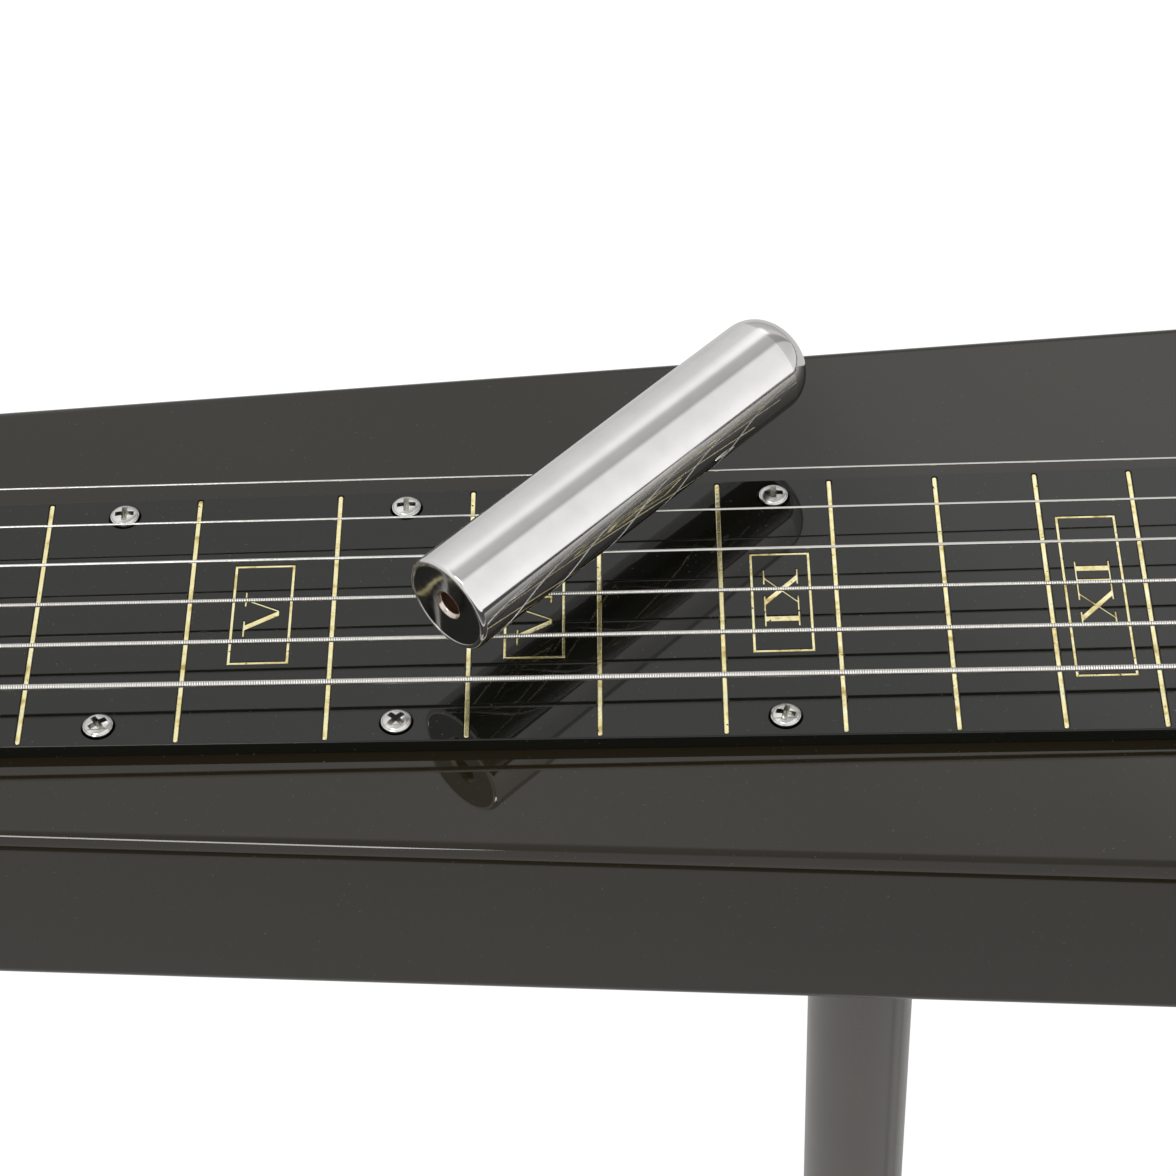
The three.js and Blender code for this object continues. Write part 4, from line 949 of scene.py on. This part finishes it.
# %% Pickup
cover = slab(rectangle(PICKUP_X - 19, PICKUP_X + 19, -45, 45, 5), -12.9, 7.2, 1.2, 0, 6)
inside = slab(rectangle(PICKUP_X - 17.5, PICKUP_X + 17.5, -43.5, 43.5, 3.5), -15, 5.7)
pole_y = [string_y(n, PICKUP_X) for n in range(6)]
cover = milled(cover, [inside] + [moved(rod(2.7, 5, 9), PICKUP_X, y) for y in pole_y])
piece(cover, "pickup_shell", "guitar", cover_plastic, ["pickup_cover"])
coil = milled(slab(rectangle(PICKUP_X - 14, PICKUP_X + 14, -40, 40, 5), -11.9, 5.3, 0.5),
              [slab(rectangle(PICKUP_X - 17.2, PICKUP_X + 17.2, -43.2, 43.2, 2.5), -12.9, -10.9)],
              "UNION")
piece(coil, "coil_block", "guitar", coil_tape, ["pickup_coil"])
poles = [moved(turned([(0, 3.3), (2.4, 3.3), (2.4, 8.2, 0.5), (0, 8.2)], 32), PICKUP_X, y)
         for y in pole_y]
pole_slots = [moved(slab(rectangle(-3, 3, -0.35, 0.35), 7.5, 9), PICKUP_X, y,
                    turn=Matrix.Rotation(0.5 + 0.8 * n, 4, "Z")) for n, y in enumerate(pole_y)]
piece(milled(together(*poles), pole_slots), "pickup_poles", "guitar", nickel_plate)
screw_row("pickup_screws", [(PICKUP_X, -40.5, 7.2), (PICKUP_X, 40.5, 7.2)], 4.4)

# %% [markdown]
# ## Controls
# The volume and tone controls sit in a cavity under the top. Only a nut and the knob show
# above. The knob is turned from brass and chromed, and its side is knurled for grip: every
# second line of the spun mesh is pressed in.

# %% Potentiometers and knobs
KNURLS, PRESSED_IN = 72, 0.968


def hex_nut(radius, low, high, hole):
    corners = [(radius * math.cos(math.pi / 3 * i), radius * math.sin(math.pi / 3 * i), 0)
               for i in range(6)]
    return milled(slab(corners, low, high, 0.25, 0.25, 2), [rod(hole, low - 1, high + 1)])


def knob_shape():
    """A flat-topped knob with a skirt, a knurled side and a blind bore."""
    bm = turned([(3.3, 4.7), (11, 4.7, 0.4), (11, 6.2, 0.6), (9.5, 7.7, 0.5), (9.5, 8.7),
                 (9.5, 9.0), (9.5, 17.3), (9.5, 17.6), (9.5, 18.6, 0.5), (8.2, 20.2, 0.9),
                 (0, 20.2), (0, 17.2), (3.3, 17.2), (3.3, 4.7)], 2 * KNURLS)
    for vert in bm.verts:
        if 8.9 < vert.co.z < 17.4 and vert.co.xy.length > 9:
            if round(math.atan2(vert.co.y, vert.co.x) / math.tau * 2 * KNURLS) % 2:
                vert.co.xy *= PRESSED_IN
    return bm


for name, x in zip(("volume", "tone"), POT_X):
    can = turned([(0, -15.1), (12, -15.1, 1), (12, -6.1, 0.5), (4.75, -6.1), (4.75, 4.4, 0.4),
                  (3.3, 4.4), (3.3, -10.6), (0, -10.6)], 48)
    washer = turned([(4.8, 0.1), (7.4, 0.1), (7.4, 0.6, 0.15), (4.8, 0.6), (4.8, 0.1)], 48)
    pot = together(can, hex_nut(6.9, 0.6, 2.4, 4.6), washer)
    piece(moved(pot, x, POT_Y), f"{name}_can", "guitar", nickel_plate, [f"{name}_pot"])
    piece(moved(rod(3, -10.3, 16.9), x, POT_Y), f"{name}_spindle", name, nickel_plate,
          [f"{name}_shaft"])
    piece(moved(knob_shape(), x, POT_Y), f"{name}_grip", name, bright_chrome,
          [f"{name}_knob"], sharp=25)
    pointer = slab(rectangle(-8.4, -4.2, -0.4, 0.4, 0.35), 20.05, 20.32, 0.08, 0, 2)
    piece(moved(pointer, x, POT_Y), f"{name}_pointer", name, cover_plastic)

# %% Rear cover
hatch = slab(rectangle(540.3, 631.7, 10.3, 87.7, 9), BODY_DEPTH, -36, 0, 0.5)
piece(hatch, "control_hatch", "guitar", cover_plastic, ["rear_cover"])
screw_row("hatch_screws", [(x, y, BODY_DEPTH) for x in (545, 627) for y in (15, 83)], 4.4,
          UPSIDE_DOWN)

# %% [markdown]
# ## Output jack
# The cable plugs in at the tail. A square chromed plate covers the hole, and a hexagon
# nut clamps the socket's barrel through it. Both are shaped upright and then laid along
# the strings.

# %% Jack
plate = milled(slab(rectangle(-15, 15, -15, 15, 6), 0.1, 1.7, 0.5), [rod(5.05, -1, 3)])
piece(moved(plate, TAIL, JACK_Y, JACK_Z, ALONG_X), "jack_cover", "guitar", bright_chrome,
      ["jack_plate"])
barrel = turned([(3.4, -13), (4.75, -13, 0.3), (4.75, -3), (8.5, -3, 0.3), (8.5, 0), (4.75, 0),
                 (4.75, 6, 0.5), (3.4, 6, 0.3), (3.4, -13)], 48)
socket = together(barrel, hex_nut(6.8, 1.8, 4.4, 4.6))
piece(moved(socket, TAIL, JACK_Y, JACK_Z, ALONG_X), "jack_barrel", "guitar", nickel_plate,
      ["jack_socket"])
screw_row("jack_screws",
          [(TAIL + 1.7, JACK_Y + y, JACK_Z + z) for y in (-11, 11) for z in (-11, 11)], 3.6,
          ALONG_X)

# %% [markdown]
# ## Tuners
# Each string winds on a post, and a worm on the key's shaft turns the wheel at the post's
# foot. Three tuners share a plate with two ears for each shaft. The wheel's teeth keep the
# solid's own mesh, because its shape there is already right, and everything round is
# turned afresh.

# %% Posts and wheels
WORM_Z, MESH_DISTANCE, WORM_PITCH = -36.25, 8.25, math.pi * 0.75
WHEEL_TOP = WORM_Z + 2.02


def solid_copy(node):
    """A merged copy of a solid's mesh, in the maker's millimetres."""
    bm = bmesh.new()
    bm.from_mesh(nodes[node].data)
    bm.transform(TO_MAKER)
    bmesh.ops.remove_doubles(bm, verts=bm.verts, dist=NEAR)
    return bm


for n, (x, y, side) in enumerate(POSTS):
    wheel = solid_copy(f"tuner_post_{n + 1}")
    bmesh.ops.bisect_plane(wheel, geom=wheel.verts[:] + wheel.edges[:] + wheel.faces[:],
                           plane_co=(0, 0, WHEEL_TOP), plane_no=(0, 0, 1), clear_outer=True)
    bmesh.ops.holes_fill(wheel, edges=[edge for edge in wheel.edges if edge.is_boundary])
    post = turned([(0, 2), (3, 2), (3, 20.35), (4.3, 20.35, 0.3), (4.3, 21.85, 0.6),
                   (3, 23.45, 0.6), (2.5, 27.1, 0.6), (2.5, 34.5, 0.4), (3.5, 35.75, 0.4),
                   (3.5, 37.4, 0.9), (0, 38.75)], 40)
    hole = moved(rod(0.75, -5, 5, 16), turn=Matrix.Rotation(string_route(n)[1], 4, "Z") @ ALONG_X)
    post = moved(milled(post, [moved(hole, z=33.25)]), x, y, WORM_Z)
    fixing = moved(cross_screw(4.4, 1.1, 0.3, 2.4, 1.5, 0.5 * n), x, y, WORM_Z - 2, UPSIDE_DOWN)
    piece(together(post, wheel, fixing), f"post_and_wheel_{n + 1}", f"post_{n + 1}", nickel_plate,
          [f"tuner_post_{n + 1}"])

# %% [markdown]
# The worm is one ridge carried along a helix: a spin with a little climb at each step. The
# button is a plate that widens outwards, with well rounded corners.


# %% Keys
def worm_thread(turns=2, steps=24):
    """A tapered ridge that climbs round the Z axis."""
    bm = bmesh.new()
    start = -WORM_PITCH / 2
    ridge = [bm.verts.new((radius, 0, start + offset)) for radius, offset in (
        (1.7, -0.85), (3.65, -0.25), (3.65, 0.25), (1.7, 0.85))]
    for i in range(4):
        bm.edges.new((ridge[i], ridge[(i + 1) % 4]))
    bmesh.ops.spin(bm, geom=bm.verts[:] + bm.edges[:], cent=(0, 0, 0), axis=(0, 0, 1),
                   dvec=(0, 0, WORM_PITCH / steps), angle=turns * math.tau, steps=turns * steps)
    bmesh.ops.holes_fill(bm, edges=[edge for edge in bm.edges if edge.is_boundary])
    bmesh.ops.recalc_face_normals(bm, faces=bm.faces)
    return bm


for n, (x, y, side) in enumerate(POSTS):
    shaft = turned([(0, -6.4), (1.6, -6.4, 0.3), (1.6, -4.2), (2, -4.2, 0.2), (2, 4.2, 0.2),
                    (1.6, 4.2), (1.6, 22.4), (2.6, 22.8, 0.3), (2.6, 25.9), (0, 25.9)], 32)
    button = slab([(-2.835, 24.5, 1.8), (2.835, 24.5, 1.8), (6.75, 29.83, 3.2), (6.75, 40.5, 4.5),
                   (-6.75, 40.5, 4.5), (-6.75, 29.83, 3.2)], -2.5, 2.5, 1.2, 1.2, 6)
    key = together(shaft, worm_thread(), moved(button, turn=ACROSS))
    outward = Matrix(((1, 0, 0, 0), (0, 0, side, 0), (0, -side, 0, 0), (0, 0, 0, 1)))
    piece(moved(key, x - MESH_DISTANCE, y, WORM_Z, outward), f"key_and_worm_{n + 1}",
          f"key_{n + 1}", bright_chrome, [f"tuner_key_{n + 1}"], sharp=28)

# %% Tuner plates
SHAFT_X = [x - MESH_DISTANCE for x in POST_X]
for edge, side in (("treble", 1), ("bass", -1)):
    row = POST_ROW * side
    strip = slab(rectangle(-135.85, -33, row - 8.6, row + 8.6, 3), -32.3, -31.1, 0, 0.35)
    ears = []
    for x in SHAFT_X:
        for out in (-5.3, 5.3):
            ear = slab([(x - 3.4, -39.65, 3), (x + 3.4, -39.65, 3),
                        (x + 3.4, -31.6, 0), (x - 3.4, -31.6, 0)], -0.8, 0.8, 0.2, 0.2, 2)
            ears.append(moved(ear, y=row + out, turn=ACROSS))
    drills = [moved(rod(POST_HOLE, -34, -30), x, row) for x in POST_X]
    drills += [moved(rod(1.9, -8, 8, 24), x, row, WORM_Z, ALONG_Y) for x in SHAFT_X]
    strip = milled(milled(strip, ears, "UNION"), drills)
    piece(strip, f"tuner_strip_{edge}", "guitar", nickel_plate, [f"tuner_plate_{edge}"])
    screw_row(f"tuner_screws_{edge}", [(x, row, -32.3) for x in (-35.7, -66, -104, -133.6)], 3.4,
              UPSIDE_DOWN)
